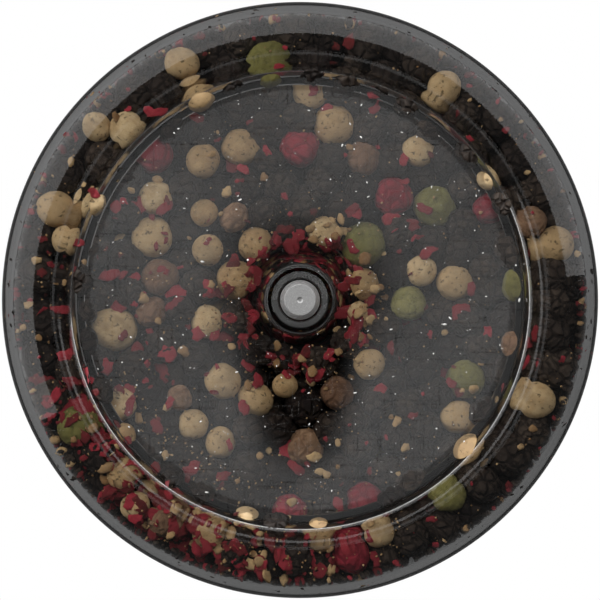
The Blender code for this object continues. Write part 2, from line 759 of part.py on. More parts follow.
def drive_core():
    """Moulded core through the inner burr. Its square socket slides on the shaft's end."""
    groove = CLIP_BOTTOM - CLEAR
    groove_top = CLIP_BOTTOM + CLIP_HEIGHT + CLEAR
    core = turned(
        "drive_core",
        BLACK_PLASTIC,
        [
            (0.0, CORE_BOTTOM),
            (2 * CORE_RADIUS, CORE_BOTTOM),
            (2 * CORE_RADIUS, CORE_BOTTOM + CORE_FLANGE),
            (CORE_RADIUS, CORE_BOTTOM + CORE_FLANGE),
            (CORE_RADIUS, groove),
            (CORE_RADIUS - 0.6, groove),
            (CORE_RADIUS - 0.6, groove_top),
            (CORE_RADIUS, groove_top),
            (CORE_RADIUS, CORE_TOP),
            (0.0, CORE_TOP),
        ],
        SMALL_SEGMENTS,
    )
    socket = prism("core_socket", 4, SHAFT_SQUARE + 2 * CLEAR, CORE_BOTTOM - 1, CORE_TOP + 1)
    combine(core, socket, "DIFFERENCE")
    return core


def core_clip():
    """Open spring clip in the core's groove that keeps the inner burr on it."""
    inner = CORE_RADIUS - 0.3
    return turned(
        "core_clip",
        STEEL,
        [
            (inner, CLIP_BOTTOM),
            (CORE_RADIUS + 2.0, CLIP_BOTTOM),
            (CORE_RADIUS + 2.0, CLIP_BOTTOM + CLIP_HEIGHT),
            (inner, CLIP_BOTTOM + CLIP_HEIGHT),
        ],
        SMALL_SEGMENTS,
        sweep=310.0,
    )


def washer(name, inner, outer, bottom, height):
    corners = [(inner, bottom), (outer, bottom), (outer, bottom + height), (inner, bottom + height)]
    return turned(name, STEEL, corners, SMALL_SEGMENTS)


def pressure_spring():
    """Coil spring round the shaft that presses the inner burr down onto the adjuster."""
    per_turn = 14
    radius = (SHAFT_RADIUS + CORE_RADIUS + 0.9) / 2
    count = int(SPRING_TURNS * per_turn) + 1
    low = SPRING_BOTTOM + SPRING_WIRE
    travel = SPRING_LENGTH - 2 * SPRING_WIRE
    curve = bpy.data.curves.new("pressure_spring", "CURVE")
    curve.dimensions = "3D"
    curve.bevel_depth = SPRING_WIRE * METRES
    curve.bevel_resolution = 1
    curve.use_fill_caps = True
    spline = curve.splines.new("POLY")
    spline.points.add(count - 1)
    for index, point in enumerate(spline.points):
        turn = 2 * math.pi * index / per_turn
        height = low + travel * index / (count - 1)
        point.co = (
            radius * math.cos(turn) * METRES,
            radius * math.sin(turn) * METRES,
            height * METRES,
            1.0,
        )
    curve.materials.append(STEEL)
    spring = bpy.data.objects.new("pressure_spring", curve)
    bpy.context.scene.collection.objects.link(spring)
    return spring


def grind_adjuster():
    """Fluted knob whose stem screws up through the spider and lifts the inner burr."""
    return toothed(
        "grind_adjuster",
        GREY_PLASTIC,
        [
            (0.0, ADJUSTER_BOTTOM + 0.6),
            (ADJUSTER_RADIUS - 3.2, ADJUSTER_BOTTOM + 0.6),
            (ADJUSTER_RADIUS - 2.4, ADJUSTER_BOTTOM),
            (ADJUSTER_RADIUS, ADJUSTER_BOTTOM),
            (ADJUSTER_RADIUS, ADJUSTER_TOP),
            (ADJUSTER_STEM, ADJUSTER_TOP),
            (ADJUSTER_STEM, STEM_TOP),
            (1.2, STEM_TOP),
            (1.2, PIVOT_TOP),
            (0.0, PIVOT_TOP),
        ],
        ADJUSTER_FLUTES,
        0.9,
        cuts=lambda radius, z: -1 if radius > ADJUSTER_RADIUS - 0.5 else 0,
    )


# ---------------------------------------------------------------- the cap that closes the outlet
def dust_cap():
    """Cup that pushes onto the spigot, closes the outlet, and carries the foot ring in a groove."""
    groove_top = FOOT_THICKNESS + CLEAR
    foot_inner = FOOT_OUTER - FOOT_WIDTH
    return turned(
        "dust_cap",
        BLACK_PLASTIC,
        [
            (0.0, CAP_BOTTOM + 0.6),
            (foot_inner - 4.0, CAP_BOTTOM + 0.6),
            (foot_inner - 2.6, CAP_BOTTOM),
            (foot_inner - CLEAR, CAP_BOTTOM),
            (foot_inner - CLEAR, groove_top),
            (FOOT_OUTER + CLEAR, groove_top),
            (FOOT_OUTER + CLEAR, CAP_BOTTOM),
            (CAP_RADIUS, CAP_BOTTOM, 1.4),
            (CAP_RADIUS, CAP_TOP, 0.3),
            (CAP_BORE, CAP_TOP),
            (CAP_BORE, CAP_FLOOR, 0.8),
            (0.0, CAP_FLOOR),
        ],
    )


def foot_ring():
    """Soft ring that the mill stands on."""
    return turned(
        "foot_ring",
        SILICONE,
        [
            (FOOT_OUTER - FOOT_WIDTH, 0.0),
            (FOOT_OUTER, 0.0),
            (FOOT_OUTER, FOOT_THICKNESS),
            (FOOT_OUTER - FOOT_WIDTH, FOOT_THICKNESS),
        ],
    )


def cap_seal():
    inner = SPIGOT_RADIUS - CAP_SEAL_DEPTH + CLEAR
    return seal("cap_seal", inner, SPIGOT_BOTTOM + 2.4 + CLEAR, CAP_SEAL_WIRE)


clear_scene()
TOOL = material("tool", (0.8, 0.2, 0.2), 0.5)
CLEAR_PLASTIC = material("clear_plastic", (0.93, 0.95, 0.95), 0.05, alpha=0.35)
BLACK_PLASTIC = material("black_plastic", (0.02, 0.02, 0.022), 0.4)
GREY_PLASTIC = material("grey_plastic", (0.1, 0.1, 0.105), 0.5)
SILICONE = material("silicone", (0.03, 0.03, 0.032), 0.75)
POM = material("pom", (0.78, 0.78, 0.75), 0.35)
STEEL = material("steel", (0.62, 0.61, 0.6), 0.28, metallic=1.0)
CERAMIC = material("ceramic", (0.86, 0.85, 0.81), 0.3)
PEPPERCORNS = material("peppercorns", (0.09, 0.07, 0.06), 0.7)

vessel()
drive_shaft()
shaft_clip()
vessel_collar()
collar_seal()
slide_ring()
peppercorn_charge()
base_shell()
friction_ring()
steel_sleeve()
bearing_seat()
hopper()
grinder_frame()
for screw_number, screw_angle in enumerate(around(ARM_COUNT), 1):
    frame_screw(screw_number, screw_angle)
outer_burr()
inner_burr()
drive_core()
core_clip()
washer("thrust_washer", 1.2 + CLEAR, 2 * CORE_RADIUS - 0.6, WASHER_BOTTOM, WASHER_HEIGHT)
washer("spring_washer", SHAFT_RADIUS + RUNNING, SHAFT_RADIUS + 2.8, SEAT_WASHER_BOTTOM, 0.6)
pressure_spring()
grind_adjuster()
dust_cap()
foot_ring()
cap_seal()
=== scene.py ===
"""Looks of the pepper mill: clear vessel, mixed peppercorns, steel, black plastic and ceramic.

Sizes here are in millimetres unless a name says otherwise, and meshes are scaled to metres. The camera
looks straight down on the vessel's closed end.
"""

import math

import bmesh
import bpy
import numpy as np
from mathutils import Matrix, Vector, kdtree, noise

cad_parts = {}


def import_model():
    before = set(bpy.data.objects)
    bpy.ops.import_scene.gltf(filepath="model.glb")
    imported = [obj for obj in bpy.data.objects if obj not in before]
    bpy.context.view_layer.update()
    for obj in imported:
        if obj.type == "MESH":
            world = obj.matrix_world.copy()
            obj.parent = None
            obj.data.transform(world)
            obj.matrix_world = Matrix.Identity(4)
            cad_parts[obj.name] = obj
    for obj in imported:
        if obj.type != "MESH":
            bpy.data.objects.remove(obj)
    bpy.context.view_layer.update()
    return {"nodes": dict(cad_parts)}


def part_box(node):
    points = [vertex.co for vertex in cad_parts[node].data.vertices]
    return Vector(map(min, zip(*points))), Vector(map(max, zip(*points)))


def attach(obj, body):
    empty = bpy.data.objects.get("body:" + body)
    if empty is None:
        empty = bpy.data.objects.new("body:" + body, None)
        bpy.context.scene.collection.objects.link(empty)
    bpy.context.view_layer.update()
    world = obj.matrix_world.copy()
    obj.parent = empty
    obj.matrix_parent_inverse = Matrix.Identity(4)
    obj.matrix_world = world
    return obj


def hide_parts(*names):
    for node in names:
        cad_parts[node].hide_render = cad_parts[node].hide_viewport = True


METRES = 0.001
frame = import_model()
scene = bpy.context.scene


def top_of(node):
    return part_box(node)[1].z / METRES


def bottom_of(node):
    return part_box(node)[0].z / METRES


# ---------------------------------------------------------------- sizes shared with the CAD
VESSEL_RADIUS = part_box("vessel")[1].x / METRES
CREST = top_of("vessel")
MOUTH = bottom_of("vessel")
MOUTH_RADIUS = VESSEL_RADIUS - 0.8
WALL = 1.2
PANEL_THICKNESS = 1.6
CREST_FILLET = 5.5
INNER_FILLET = CREST_FILLET - WALL
CREST_FLAT = 0.9
CREST_INNER = VESSEL_RADIUS - CREST_FILLET - CREST_FLAT
STEP_WIDTH, STEP_DEPTH = 1.8, 2.2
PANEL_RADIUS = CREST_INNER - STEP_WIDTH
PANEL = CREST - STEP_DEPTH
UNDER_PANEL = PANEL - PANEL_THICKNESS
UNDER_CREST = CREST - WALL
CHAMBER_RADIUS = VESSEL_RADIUS - WALL
MOUTH_BORE = MOUTH_RADIUS - WALL
HUB_LENGTH = 9.4
HUB_BOTTOM = UNDER_PANEL - HUB_LENGTH
HUB_RADIUS = 3.7
HUB_ROOT = 6.6
HUB_ROOT_DEPTH = 1.5
BOSS_RADIUS = 3.1
BOSS_TOP = PANEL + 0.7
SHAFT_RADIUS = 2.2
SHAFT_BORE = 2.35
SHAFT_TOP = top_of("drive_shaft")
BASE_RADIUS = 32.4
THROAT_RADIUS, FUNNEL_RADIUS, FUNNEL_TOP = 15.6, 23.4, 58.1
COLLAR_ROOM, COLLAR_TOP = 27.4, 63.5
TAPER_TOP = CREST - CREST_FILLET - 2.0  # above this the wall has its full radius


# ---------------------------------------------------------------- node helpers
class Shader:
    """A material's node tree, written with short calls."""

    def __init__(self, name):
        self.mat = bpy.data.materials.new(name)
        self.mat.use_nodes = True
        self.tree = self.mat.node_tree
        self.tree.nodes.clear()
        self.out = self.add("ShaderNodeOutputMaterial")
        self.surface = self.add("ShaderNodeBsdfPrincipled")
        self.link(self.surface.outputs[0], self.out.inputs["Surface"])

    def add(self, kind, **values):
        node = self.tree.nodes.new(kind)
        for key, value in values.items():
            setattr(node, key, value)
        return node

    def link(self, output, socket):
        self.tree.links.new(output, socket)

    def put(self, socket, value):
        """Sets a socket to a number or links an output to it."""
        if hasattr(value, "is_output") or hasattr(value, "links"):
            self.link(value, socket)
        elif value is not None:
            socket.default_value = value

    def set(self, **values):
        names = {"colour": "Base Color", "rough": "Roughness", "metal": "Metallic", "ior": "IOR"}
        names |= {"coat": "Coat Weight", "coat_rough": "Coat Roughness", "normal": "Normal"}
        names |= {"aniso": "Anisotropic", "transmission": "Transmission Weight"}
        for key, value in values.items():
            if isinstance(value, tuple) and len(value) == 3:
                value = (*value, 1.0)
            self.put(self.surface.inputs[names[key]], value)

    def position(self):
        return self.add("ShaderNodeTexCoord").outputs["Object"]

    def from_axis(self):
        """Distance from the mill's axis, in metres."""
        node = self.add("ShaderNodeVectorMath", operation="MULTIPLY")
        self.link(self.position(), node.inputs[0])
        node.inputs[1].default_value = (1, 1, 0)
        length = self.add("ShaderNodeVectorMath", operation="LENGTH")
        self.link(node.outputs[0], length.inputs[0])
        return length.outputs["Value"]

    def scaled(self, factor):
        """Object coordinates in millimetres, times a factor or a triple."""
        node = self.add("ShaderNodeVectorMath", operation="MULTIPLY")
        self.link(self.position(), node.inputs[0])
        triple = factor if isinstance(factor, tuple) else (factor,) * 3
        node.inputs[1].default_value = tuple(1000 * f for f in triple)
        return node.outputs[0]

    def noise(self, scale, detail=3.0, rough=0.55, vector=None):
        """Noise whose features are about 1/scale millimetres across."""
        node = self.add("ShaderNodeTexNoise")
        self.link(vector or self.scaled(scale), node.inputs["Vector"])
        node.inputs["Scale"].default_value = 1.0
        node.inputs["Detail"].default_value = detail
        node.inputs["Roughness"].default_value = rough
        return node.outputs["Fac"]

    def cells(self, scale):
        """Distance to the nearest edge between cells of about 1/scale millimetres."""
        node = self.add("ShaderNodeTexVoronoi", feature="DISTANCE_TO_EDGE")
        self.link(self.scaled(scale), node.inputs["Vector"])
        node.inputs["Scale"].default_value = 1.0
        return node.outputs["Distance"]

    def ramp(self, value, low, high, start=0.0, end=1.0):
        node = self.add("ShaderNodeMapRange", interpolation_type="SMOOTHSTEP")
        self.link(value, node.inputs["Value"])
        for name, number in zip(("From Min", "From Max", "To Min", "To Max"), (low, high, start, end)):
            node.inputs[name].default_value = number
        return node.outputs["Result"]

    def maths(self, operation, a, b=None):
        node = self.add("ShaderNodeMath", operation=operation)
        self.put(node.inputs[0], a)
        self.put(node.inputs[1], b)
        return node.outputs[0]

    def mix(self, factor, a, b):
        node = self.add("ShaderNodeMix", data_type="RGBA")
        self.put(node.inputs["Factor"], factor)
        for socket, value in ((node.inputs[6], a), (node.inputs[7], b)):
            self.put(socket, (*value, 1.0) if isinstance(value, tuple) else value)
        return node.outputs[2]

    def attribute(self, name):
        return self.add("ShaderNodeAttribute", attribute_name=name).outputs["Fac"]

    def bump(self, height, distance_mm, strength=1.0):
        node = self.add("ShaderNodeBump")
        self.link(height, node.inputs["Height"])
        node.inputs["Distance"].default_value = distance_mm * METRES
        node.inputs["Strength"].default_value = strength
        return node.outputs["Normal"]


# ---------------------------------------------------------------- materials
POLISHED, STEP_ROUGH = 0.015, 0.12


def clear_plastic():
    """Polished clear plastic with fine scratches, less polished on the step. Lamps shine through it."""
    s = Shader("clear_plastic")
    scratch_a = s.ramp(s.noise(1, 2.0, 0.5, s.scaled((0.12, 5.0, 0.5))), 0.66, 0.74)
    scratch_b = s.ramp(s.noise(1, 2.0, 0.5, s.scaled((4.0, 0.15, 0.5))), 0.68, 0.76)
    ripple = s.noise(0.05, 2.0)
    height = s.maths("ADD", s.maths("MULTIPLY", s.maths("ADD", scratch_a, scratch_b), 0.12), ripple)
    normal = s.bump(height, 0.05, 0.35)
    away = s.maths("ABSOLUTE", s.maths("SUBTRACT", s.from_axis(), (PANEL_RADIUS + CREST_INNER) / 2 * METRES))
    step = s.ramp(away, 0.9 * METRES, 1.4 * METRES, STEP_ROUGH, POLISHED)
    s.set(colour=(0.985, 0.99, 0.99), rough=step, ior=1.49, transmission=1.0, normal=normal)
    clear = s.add("ShaderNodeBsdfTransparent")
    clear.inputs["Color"].default_value = (0.96, 0.965, 0.965, 1.0)
    path = s.add("ShaderNodeLightPath")
    pick = s.add("ShaderNodeMixShader")
    s.link(path.outputs["Is Shadow Ray"], pick.inputs[0])
    s.link(s.surface.outputs[0], pick.inputs[1])
    s.link(clear.outputs[0], pick.inputs[2])
    s.link(pick.outputs[0], s.out.inputs["Surface"])
    return s.mat


def steel(name="steel", tone=0.58, metal=1.0, rough=0.2):
    """Steel with fine turning or brushing lines."""
    s = Shader(name)
    split = s.add("ShaderNodeSeparateXYZ")
    s.link(s.position(), split.inputs[0])
    lines = s.add("ShaderNodeCombineXYZ")
    s.link(s.maths("MULTIPLY", s.from_axis(), 9000.0), lines.inputs["X"])
    s.link(s.maths("MULTIPLY", split.outputs["Z"], 9000.0), lines.inputs["Y"])
    angle = s.maths("ARCTAN2", split.outputs["Y"], split.outputs["X"])
    s.link(s.maths("MULTIPLY", angle, 3.0), lines.inputs["Z"])
    brushed = s.noise(1, 3.0, 0.6, lines.outputs[0])
    smudge = s.noise(0.12, 3.0)
    shade = s.mix(brushed, (tone * 0.86,) * 3, (tone * 1.1, tone * 1.09, tone * 1.07))
    s.set(colour=shade, metal=metal, aniso=0.4)
    lined = s.ramp(brushed, 0.3, 0.7, rough, rough + 0.12)
    s.set(rough=s.maths("ADD", lined, s.ramp(smudge, 0.35, 0.7, 0.0, 0.1)))
    s.set(normal=s.bump(brushed, 0.01, 0.5))
    return s.mat


def plastic(name, colour, rough=0.38, grain=2.2, depth=0.012):
    """Moulded plastic with a fine grain, smudges, and paler rubbed high spots."""
    s = Shader(name)
    fine = s.noise(grain, 4.0, 0.6)
    smudge = s.noise(0.09, 4.0, 0.6)
    pale = tuple(min(1.0, c * 1.5 + 0.012) for c in colour)
    s.set(colour=s.mix(s.ramp(smudge, 0.4, 0.75, 0.0, 0.6), colour, pale))
    rubbed = s.ramp(smudge, 0.3, 0.7, rough - 0.05, rough + 0.08)
    s.set(rough=s.maths("ADD", rubbed, s.ramp(fine, 0.3, 0.7, 0.0, 0.05)))
    s.set(normal=s.bump(fine, depth, 0.6))
    return s.mat


def rubber():
    s = Shader("silicone")
    fine = s.noise(3.0, 4.0, 0.65)
    dust = s.ramp(s.noise(0.5, 5.0, 0.7), 0.52, 0.78, 0.0, 0.35)
    s.set(colour=s.mix(dust, (0.022, 0.022, 0.024), (0.11, 0.105, 0.1)), rough=0.7)
    s.set(normal=s.bump(fine, 0.02, 0.6))
    return s.mat


def ceramic():
    """Fired ceramic with a faint speckle, and pepper dust worn into it."""
    s = Shader("ceramic")
    grain = s.noise(2.5, 5.0, 0.65)
    stain = s.ramp(s.noise(0.25, 5.0, 0.7), 0.5, 0.75, 0.0, 0.55)
    base = s.mix(grain, (0.74, 0.72, 0.66), (0.86, 0.85, 0.8))
    s.set(colour=s.mix(stain, base, (0.33, 0.27, 0.2)), rough=s.ramp(grain, 0.3, 0.7, 0.28, 0.45))
    s.set(normal=s.bump(grain, 0.03, 0.5))
    return s.mat


def berry(name, dark, mid, pale, wrinkle, rough, cell=0.9, depth=0.25, spots=0.0, coat=0.0):
    """Skin of a dried berry. The tint attribute varies it from one berry to the next."""
    s = Shader(name)
    tint = s.attribute("tint")
    skin = s.noise(0.9, 5.0, 0.65)
    cells = s.cells(cell)
    groove = s.ramp(cells, 0.02, 0.22)
    ridge = s.maths("ADD", s.maths("MULTIPLY", groove, wrinkle), s.maths("MULTIPLY", skin, 0.6))
    colour = s.mix(tint, dark, pale)
    colour = s.mix(s.ramp(skin, 0.35, 0.68), colour, mid)
    # Painted shade: the skin colour darkens towards this in the wrinkle grooves, the cell edges that the bump
    # sinks.
    painted_groove_shade = tuple(c * 0.35 for c in dark)
    colour = s.mix(s.ramp(cells, 0.0, 0.1, 0.75 * min(1.0, wrinkle), 0.0), colour, painted_groove_shade)
    if spots:
        fleck = s.ramp(s.noise(1.7, 3.0, 0.65), 0.57, 0.66, 0.0, spots)
        colour = s.mix(fleck, colour, tuple(c * 0.22 for c in mid))
        stain = s.ramp(s.noise(0.3, 3.0, 0.55), 0.5, 0.68, 0.0, 0.65)
        colour = s.mix(stain, colour, tuple(c * 0.55 for c in mid))
    s.set(colour=colour, rough=s.ramp(skin, 0.3, 0.7, rough - 0.1, rough + 0.08), coat=coat, coat_rough=0.3)
    s.set(normal=s.bump(ridge, depth, 0.9))
    return s.mat


def skin_flake():
    s = Shader("red_skin")
    tint = s.attribute("tint")
    vein = s.noise(1.6, 4.0, 0.6)
    colour = s.mix(tint, (0.06, 0.014, 0.012), (0.30, 0.03, 0.042))
    colour = s.mix(s.ramp(vein, 0.4, 0.72, 0.0, 0.6), colour, (0.16, 0.015, 0.02))
    s.set(colour=colour, rough=0.45)
    s.set(normal=s.bump(vein, 0.15, 0.8))
    return s.mat


def chip_material():
    s = Shader("seed_chips")
    tint = s.attribute("tint")
    grain = s.noise(2.0, 4.0, 0.6)
    colour = s.mix(tint, (0.2, 0.1, 0.04), (0.56, 0.38, 0.19))
    s.set(colour=s.mix(s.ramp(grain, 0.4, 0.7, 0.0, 0.6), colour, (0.3, 0.2, 0.11)), rough=0.7)
    s.set(normal=s.bump(grain, 0.12, 0.8))
    return s.mat


def floor_material():
    """Pale floor: white to the camera, a little of that in reflections, and lit as usual for the rest."""
    s = Shader("floor")
    grain = s.noise(0.02, 3.0)
    s.set(colour=s.mix(grain, (0.11, 0.11, 0.11), (0.14, 0.14, 0.14)), rough=0.8)
    glow = s.add("ShaderNodeEmission")
    glow.inputs["Strength"].default_value = 1.0
    path = s.add("ShaderNodeLightPath")
    pick = s.add("ShaderNodeMixShader")
    mirrored = s.maths("MULTIPLY", path.outputs["Is Glossy Ray"], 0.05)
    s.link(s.maths("MAXIMUM", path.outputs["Is Camera Ray"], mirrored), pick.inputs[0])
    s.link(s.surface.outputs[0], pick.inputs[1])
    s.link(glow.outputs[0], pick.inputs[2])
    s.link(pick.outputs[0], s.out.inputs["Surface"])
    return s.mat


def card_material():
    """A softbox face whose middle is shaded, so that the hub has no sheen on it."""
    s = Shader("overhead_card")
    split = s.add("ShaderNodeSeparateXYZ")
    s.link(s.scaled(1.0), split.inputs[0])
    x, y = split.outputs["X"], split.outputs["Y"]

    def within(across, along, low, high, shift=0.0):
        wide = s.maths("DIVIDE", x, across)
        deep = s.maths("DIVIDE", s.maths("ADD", y, shift), along)
        square = s.maths("ADD", s.maths("MULTIPLY", wide, wide), s.maths("MULTIPLY", deep, deep))
        return s.ramp(s.maths("SQRT", square), low, high)

    open_ring = within(24.0, 24.0, 0.45, 1.1)
    open_wedge = within(15.0, 25.0, 0.55, 1.15, 17.0)
    cloud = s.ramp(s.noise(0.018, 2.0), 0.3, 0.7, 0.75, 1.1)
    edge = s.maths("SUBTRACT", 1.0, within(55.0, 55.0, 0.93, 1.0))
    middle = s.maths("MULTIPLY", s.maths("SUBTRACT", 1.0, within(8.0, 8.0, 0.6, 1.0)), 0.42)
    haze = s.maths("MULTIPLY", s.maths("MULTIPLY", open_ring, open_wedge), s.maths("MULTIPLY", cloud, edge))
    strength = s.maths("ADD", s.maths("MULTIPLY", haze, 0.8), middle)
    glow = s.add("ShaderNodeEmission")
    s.link(strength, glow.inputs["Strength"])
    s.link(glow.outputs[0], s.out.inputs["Surface"])
    return s.mat


# ---------------------------------------------------------------- turned pieces
def fillet_reaches(corners):
    """How far each fillet runs along its two edges. Two that meet on a short edge share it."""
    places = [Vector(corner[:2]) for corner in corners]
    count = len(corners)
    wanted = []
    for index, corner in enumerate(corners):
        fillet = corner[2] if len(corner) > 2 else 0.0
        if not fillet:
            wanted.append(0.0)
            continue
        back, ahead = places[index - 1] - places[index], places[(index + 1) % count] - places[index]
        wanted.append(fillet / math.tan(back.angle(ahead) / 2))
    shares = []
    for index in range(count):
        ahead = (index + 1) % count
        length = (places[ahead] - places[index]).length
        shares.append(min(1.0, length / max(wanted[index] + wanted[ahead], 1e-9)))
    return [want * min(shares[index - 1], shares[index]) for index, want in enumerate(wanted)]


def rounded(corners, steps=8):
    """Outline points from (radius, height) corners. A third number rounds that corner with a fillet."""
    points = []
    count = len(corners)
    reaches = fillet_reaches(corners)
    for index, corner in enumerate(corners):
        at = Vector(corner[:2])
        fillet = corner[2] if len(corner) > 2 else 0.0
        if not fillet:
            points.append(at)
            continue
        back = Vector(corners[index - 1][:2]) - at
        ahead = Vector(corners[(index + 1) % count][:2]) - at
        half = back.angle(ahead) / 2
        reach = reaches[index]
        radius = reach * math.tan(half)
        centre = at + (back.normalized() + ahead.normalized()).normalized() * (radius / math.sin(half))
        start = at + back.normalized() * reach - centre
        end = at + ahead.normalized() * reach - centre
        turn = math.atan2(start.cross(end), start.dot(end))
        count_here = max(3, int(steps * min(2.5, 0.6 + fillet / 2)))
        for step in range(count_here + 1):
            points.append(centre + Matrix.Rotation(turn * step / count_here, 2) @ start)
    return points


def supported(points, closed):
    """Adds a point just inside both ends of each long straight, which keeps smooth shading at its fillets."""
    reach, least = 0.06, 0.6
    out = []
    for index, point in enumerate(points):
        out.append(point)
        if index + 1 == len(points) and not closed:
            continue
        way = points[(index + 1) % len(points)] - point
        if way.length > least:
            step = way.normalized() * reach
            out += [point + step, point + way - step]
    return out


def link(obj, body, replaced=()):
    scene.collection.objects.link(obj)
    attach(obj, body)
    if replaced:
        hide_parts(*replaced)
    return obj


def finish_mesh(bm, name, mat, flat_angle):
    """An object from a bmesh in millimetres, smooth but for its sharp edges."""
    bmesh.ops.remove_doubles(bm, verts=bm.verts, dist=1e-4)
    bmesh.ops.recalc_face_normals(bm, faces=bm.faces)
    bmesh.ops.scale(bm, vec=(METRES,) * 3, verts=bm.verts)
    mesh = bpy.data.meshes.new(name)
    bm.to_mesh(mesh)
    bm.free()
    mesh.shade_smooth()
    mesh.set_sharp_from_angle(angle=math.radians(flat_angle))
    mesh.materials.append(mat)
    return bpy.data.objects.new(name, mesh)


def turned(name, mat, corners, segments=160, steps=8, flat_angle=28.0):
    """A piece spun about Z, smooth at its fillets."""
    points = rounded(corners, steps)
    on_axis = points[0].x < 1e-6 and points[-1].x < 1e-6
    points = supported(points, not on_axis)
    bm = bmesh.new()
    verts = [bm.verts.new((p.x, 0.0, p.y)) for p in points]
    pairs = list(zip(verts, verts[1:])) + ([] if on_axis else [(verts[-1], verts[0])])
    edges = [bm.edges.new(pair) for pair in pairs]
    bmesh.ops.spin(
        bm,
        geom=verts + edges,
        cent=(0, 0, 0),
        axis=(0, 0, 1),
        angle=2 * math.pi,
        steps=segments,
        use_merge=True,
    )
    return finish_mesh(bm, name, mat, flat_angle)


def vessel():
    outline = [
        (MOUTH_BORE, MOUTH, 0.2),
        (MOUTH_RADIUS, MOUTH, 0.4),
        (VESSEL_RADIUS, CREST - CREST_FILLET),
        (VESSEL_RADIUS, CREST, CREST_FILLET),
        (CREST_INNER, CREST, 0.8),
        (PANEL_RADIUS, PANEL, 0.7),
        (BOSS_RADIUS + 0.5, PANEL, 0.3),
        (BOSS_RADIUS, BOSS_TOP, 0.3),
        (SHAFT_BORE, BOSS_TOP, 0.12),
        (SHAFT_BORE, HUB_BOTTOM),
        (HUB_RADIUS, HUB_BOTTOM, 0.5),
        (HUB_RADIUS, UNDER_PANEL - HUB_ROOT_DEPTH, 0.6),
        (HUB_ROOT, UNDER_PANEL, 0.8),
        (PANEL_RADIUS - WALL, UNDER_PANEL, 0.8),
        (CREST_INNER - WALL, UNDER_CREST, 1.0),
        (CHAMBER_RADIUS, UNDER_CREST, INNER_FILLET),
        (CHAMBER_RADIUS, TAPER_TOP),
    ]
    piece = turned("vessel_clear", clear_plastic(), outline, 256, 10, 60.0)
    return link(piece, "vessel", ["vessel"])


# ---------------------------------------------------------------- peppercorns
# Coloured berries that lie against the closed end: how many, their mean diameter, and its spread.
AGAINST_PANEL = {
    "white": (45, 3.8, 0.45),
    "green": (8, 4.6, 0.5),
    "pink": (7, 4.3, 0.35),
    "brown": (9, 3.5, 0.4),
}
CLUMPING = 0.45  # chance that a berry lies next to an earlier one
BERRY_RADIUS = 2.15
GAP = 0.12
SETTLING_ROUNDS = 90
CHARGE_BOTTOM = bottom_of("peppercorn_charge") + 0.3
KINDS = ("black", "white", "green", "pink", "brown")


def wall_radius(z):
    """How far from the axis the chamber reaches at a height, below the rounded end."""
    if z < FUNNEL_TOP:
        flare = FUNNEL_RADIUS - THROAT_RADIUS
        return THROAT_RADIUS + flare * (z - CHARGE_BOTTOM) / (FUNNEL_TOP - CHARGE_BOTTOM)
    if z < COLLAR_TOP:
        return COLLAR_ROOM
    taper = (z - COLLAR_TOP) / (TAPER_TOP - COLLAR_TOP)
    return MOUTH_BORE + (CHAMBER_RADIUS - MOUTH_BORE) * min(1.0, taper)


def ceiling(radius):
    """Height of the underside of the closed end at a distance from the axis."""
    step = np.clip((radius - (PANEL_RADIUS - WALL)) / STEP_WIDTH, 0.0, 1.0)
    drop = np.maximum(0.0, radius - (CHAMBER_RADIUS - INNER_FILLET))
    arc = np.sqrt(np.maximum(0.0, INNER_FILLET**2 - drop**2)) - INNER_FILLET
    root = np.clip((HUB_ROOT - radius) / (HUB_ROOT - HUB_RADIUS), 0.0, 1.0) * HUB_ROOT_DEPTH
    return UNDER_PANEL + (UNDER_CREST - UNDER_PANEL) * step + arc - root


def core_radius(z):
    """Berries stay outside this core, which is hidden behind them."""
    if z > UNDER_PANEL - 13.0:
        return 0.0
    return max(0.0, wall_radius(z) - 9.2)


def hold_in(points, sizes):
    """Moves berry centres to inside the chamber and clear of the hub and the shaft. Changes points."""
    corner_r = CHAMBER_RADIUS - INNER_FILLET
    corner_z = UNDER_CREST - INNER_FILLET
    radius = np.hypot(points[:, 0], points[:, 1]) + 1e-9
    z = points[:, 2]
    keep = sizes + GAP
    limit = np.array([wall_radius(h) for h in z]) - keep
    in_corner = (z > corner_z) & (radius > corner_r)
    dr, dz = radius - corner_r, z - corner_z
    away = np.hypot(dr, dz) + 1e-9
    pull = in_corner & (away > INNER_FILLET - keep)
    factor = np.where(pull, (INNER_FILLET - keep) / away, 1.0)
    new_r = np.where(in_corner, corner_r + dr * factor, np.minimum(radius, limit))
    z = np.where(in_corner, corner_z + dz * factor, z)
    z = np.minimum(z, ceiling(new_r) - keep)
    z = np.maximum(z, CHARGE_BOTTOM + sizes)
    core = np.where(z > HUB_BOTTOM - sizes, HUB_RADIUS + 0.35, SHAFT_RADIUS + 0.5) + keep
    core = np.where(z > UNDER_PANEL - 3.0, core + 0.8, core)
    core = np.maximum(core, np.array([core_radius(h) for h in z]))
    new_r = np.maximum(new_r, core)
    scale = new_r / radius
    points[:, 0] *= scale
    points[:, 1] *= scale
    points[:, 2] = z


def is_free(x, y, radius, rows):
    """Whether a berry fits between the hub and the wall, clear of those already placed."""
    reach = math.hypot(x, y)
    if not HUB_RADIUS + radius + 0.4 < reach < CHAMBER_RADIUS - radius - GAP:
        return False
    return all(math.hypot(x - row[0], y - row[1]) > radius + row[3] for row in rows)


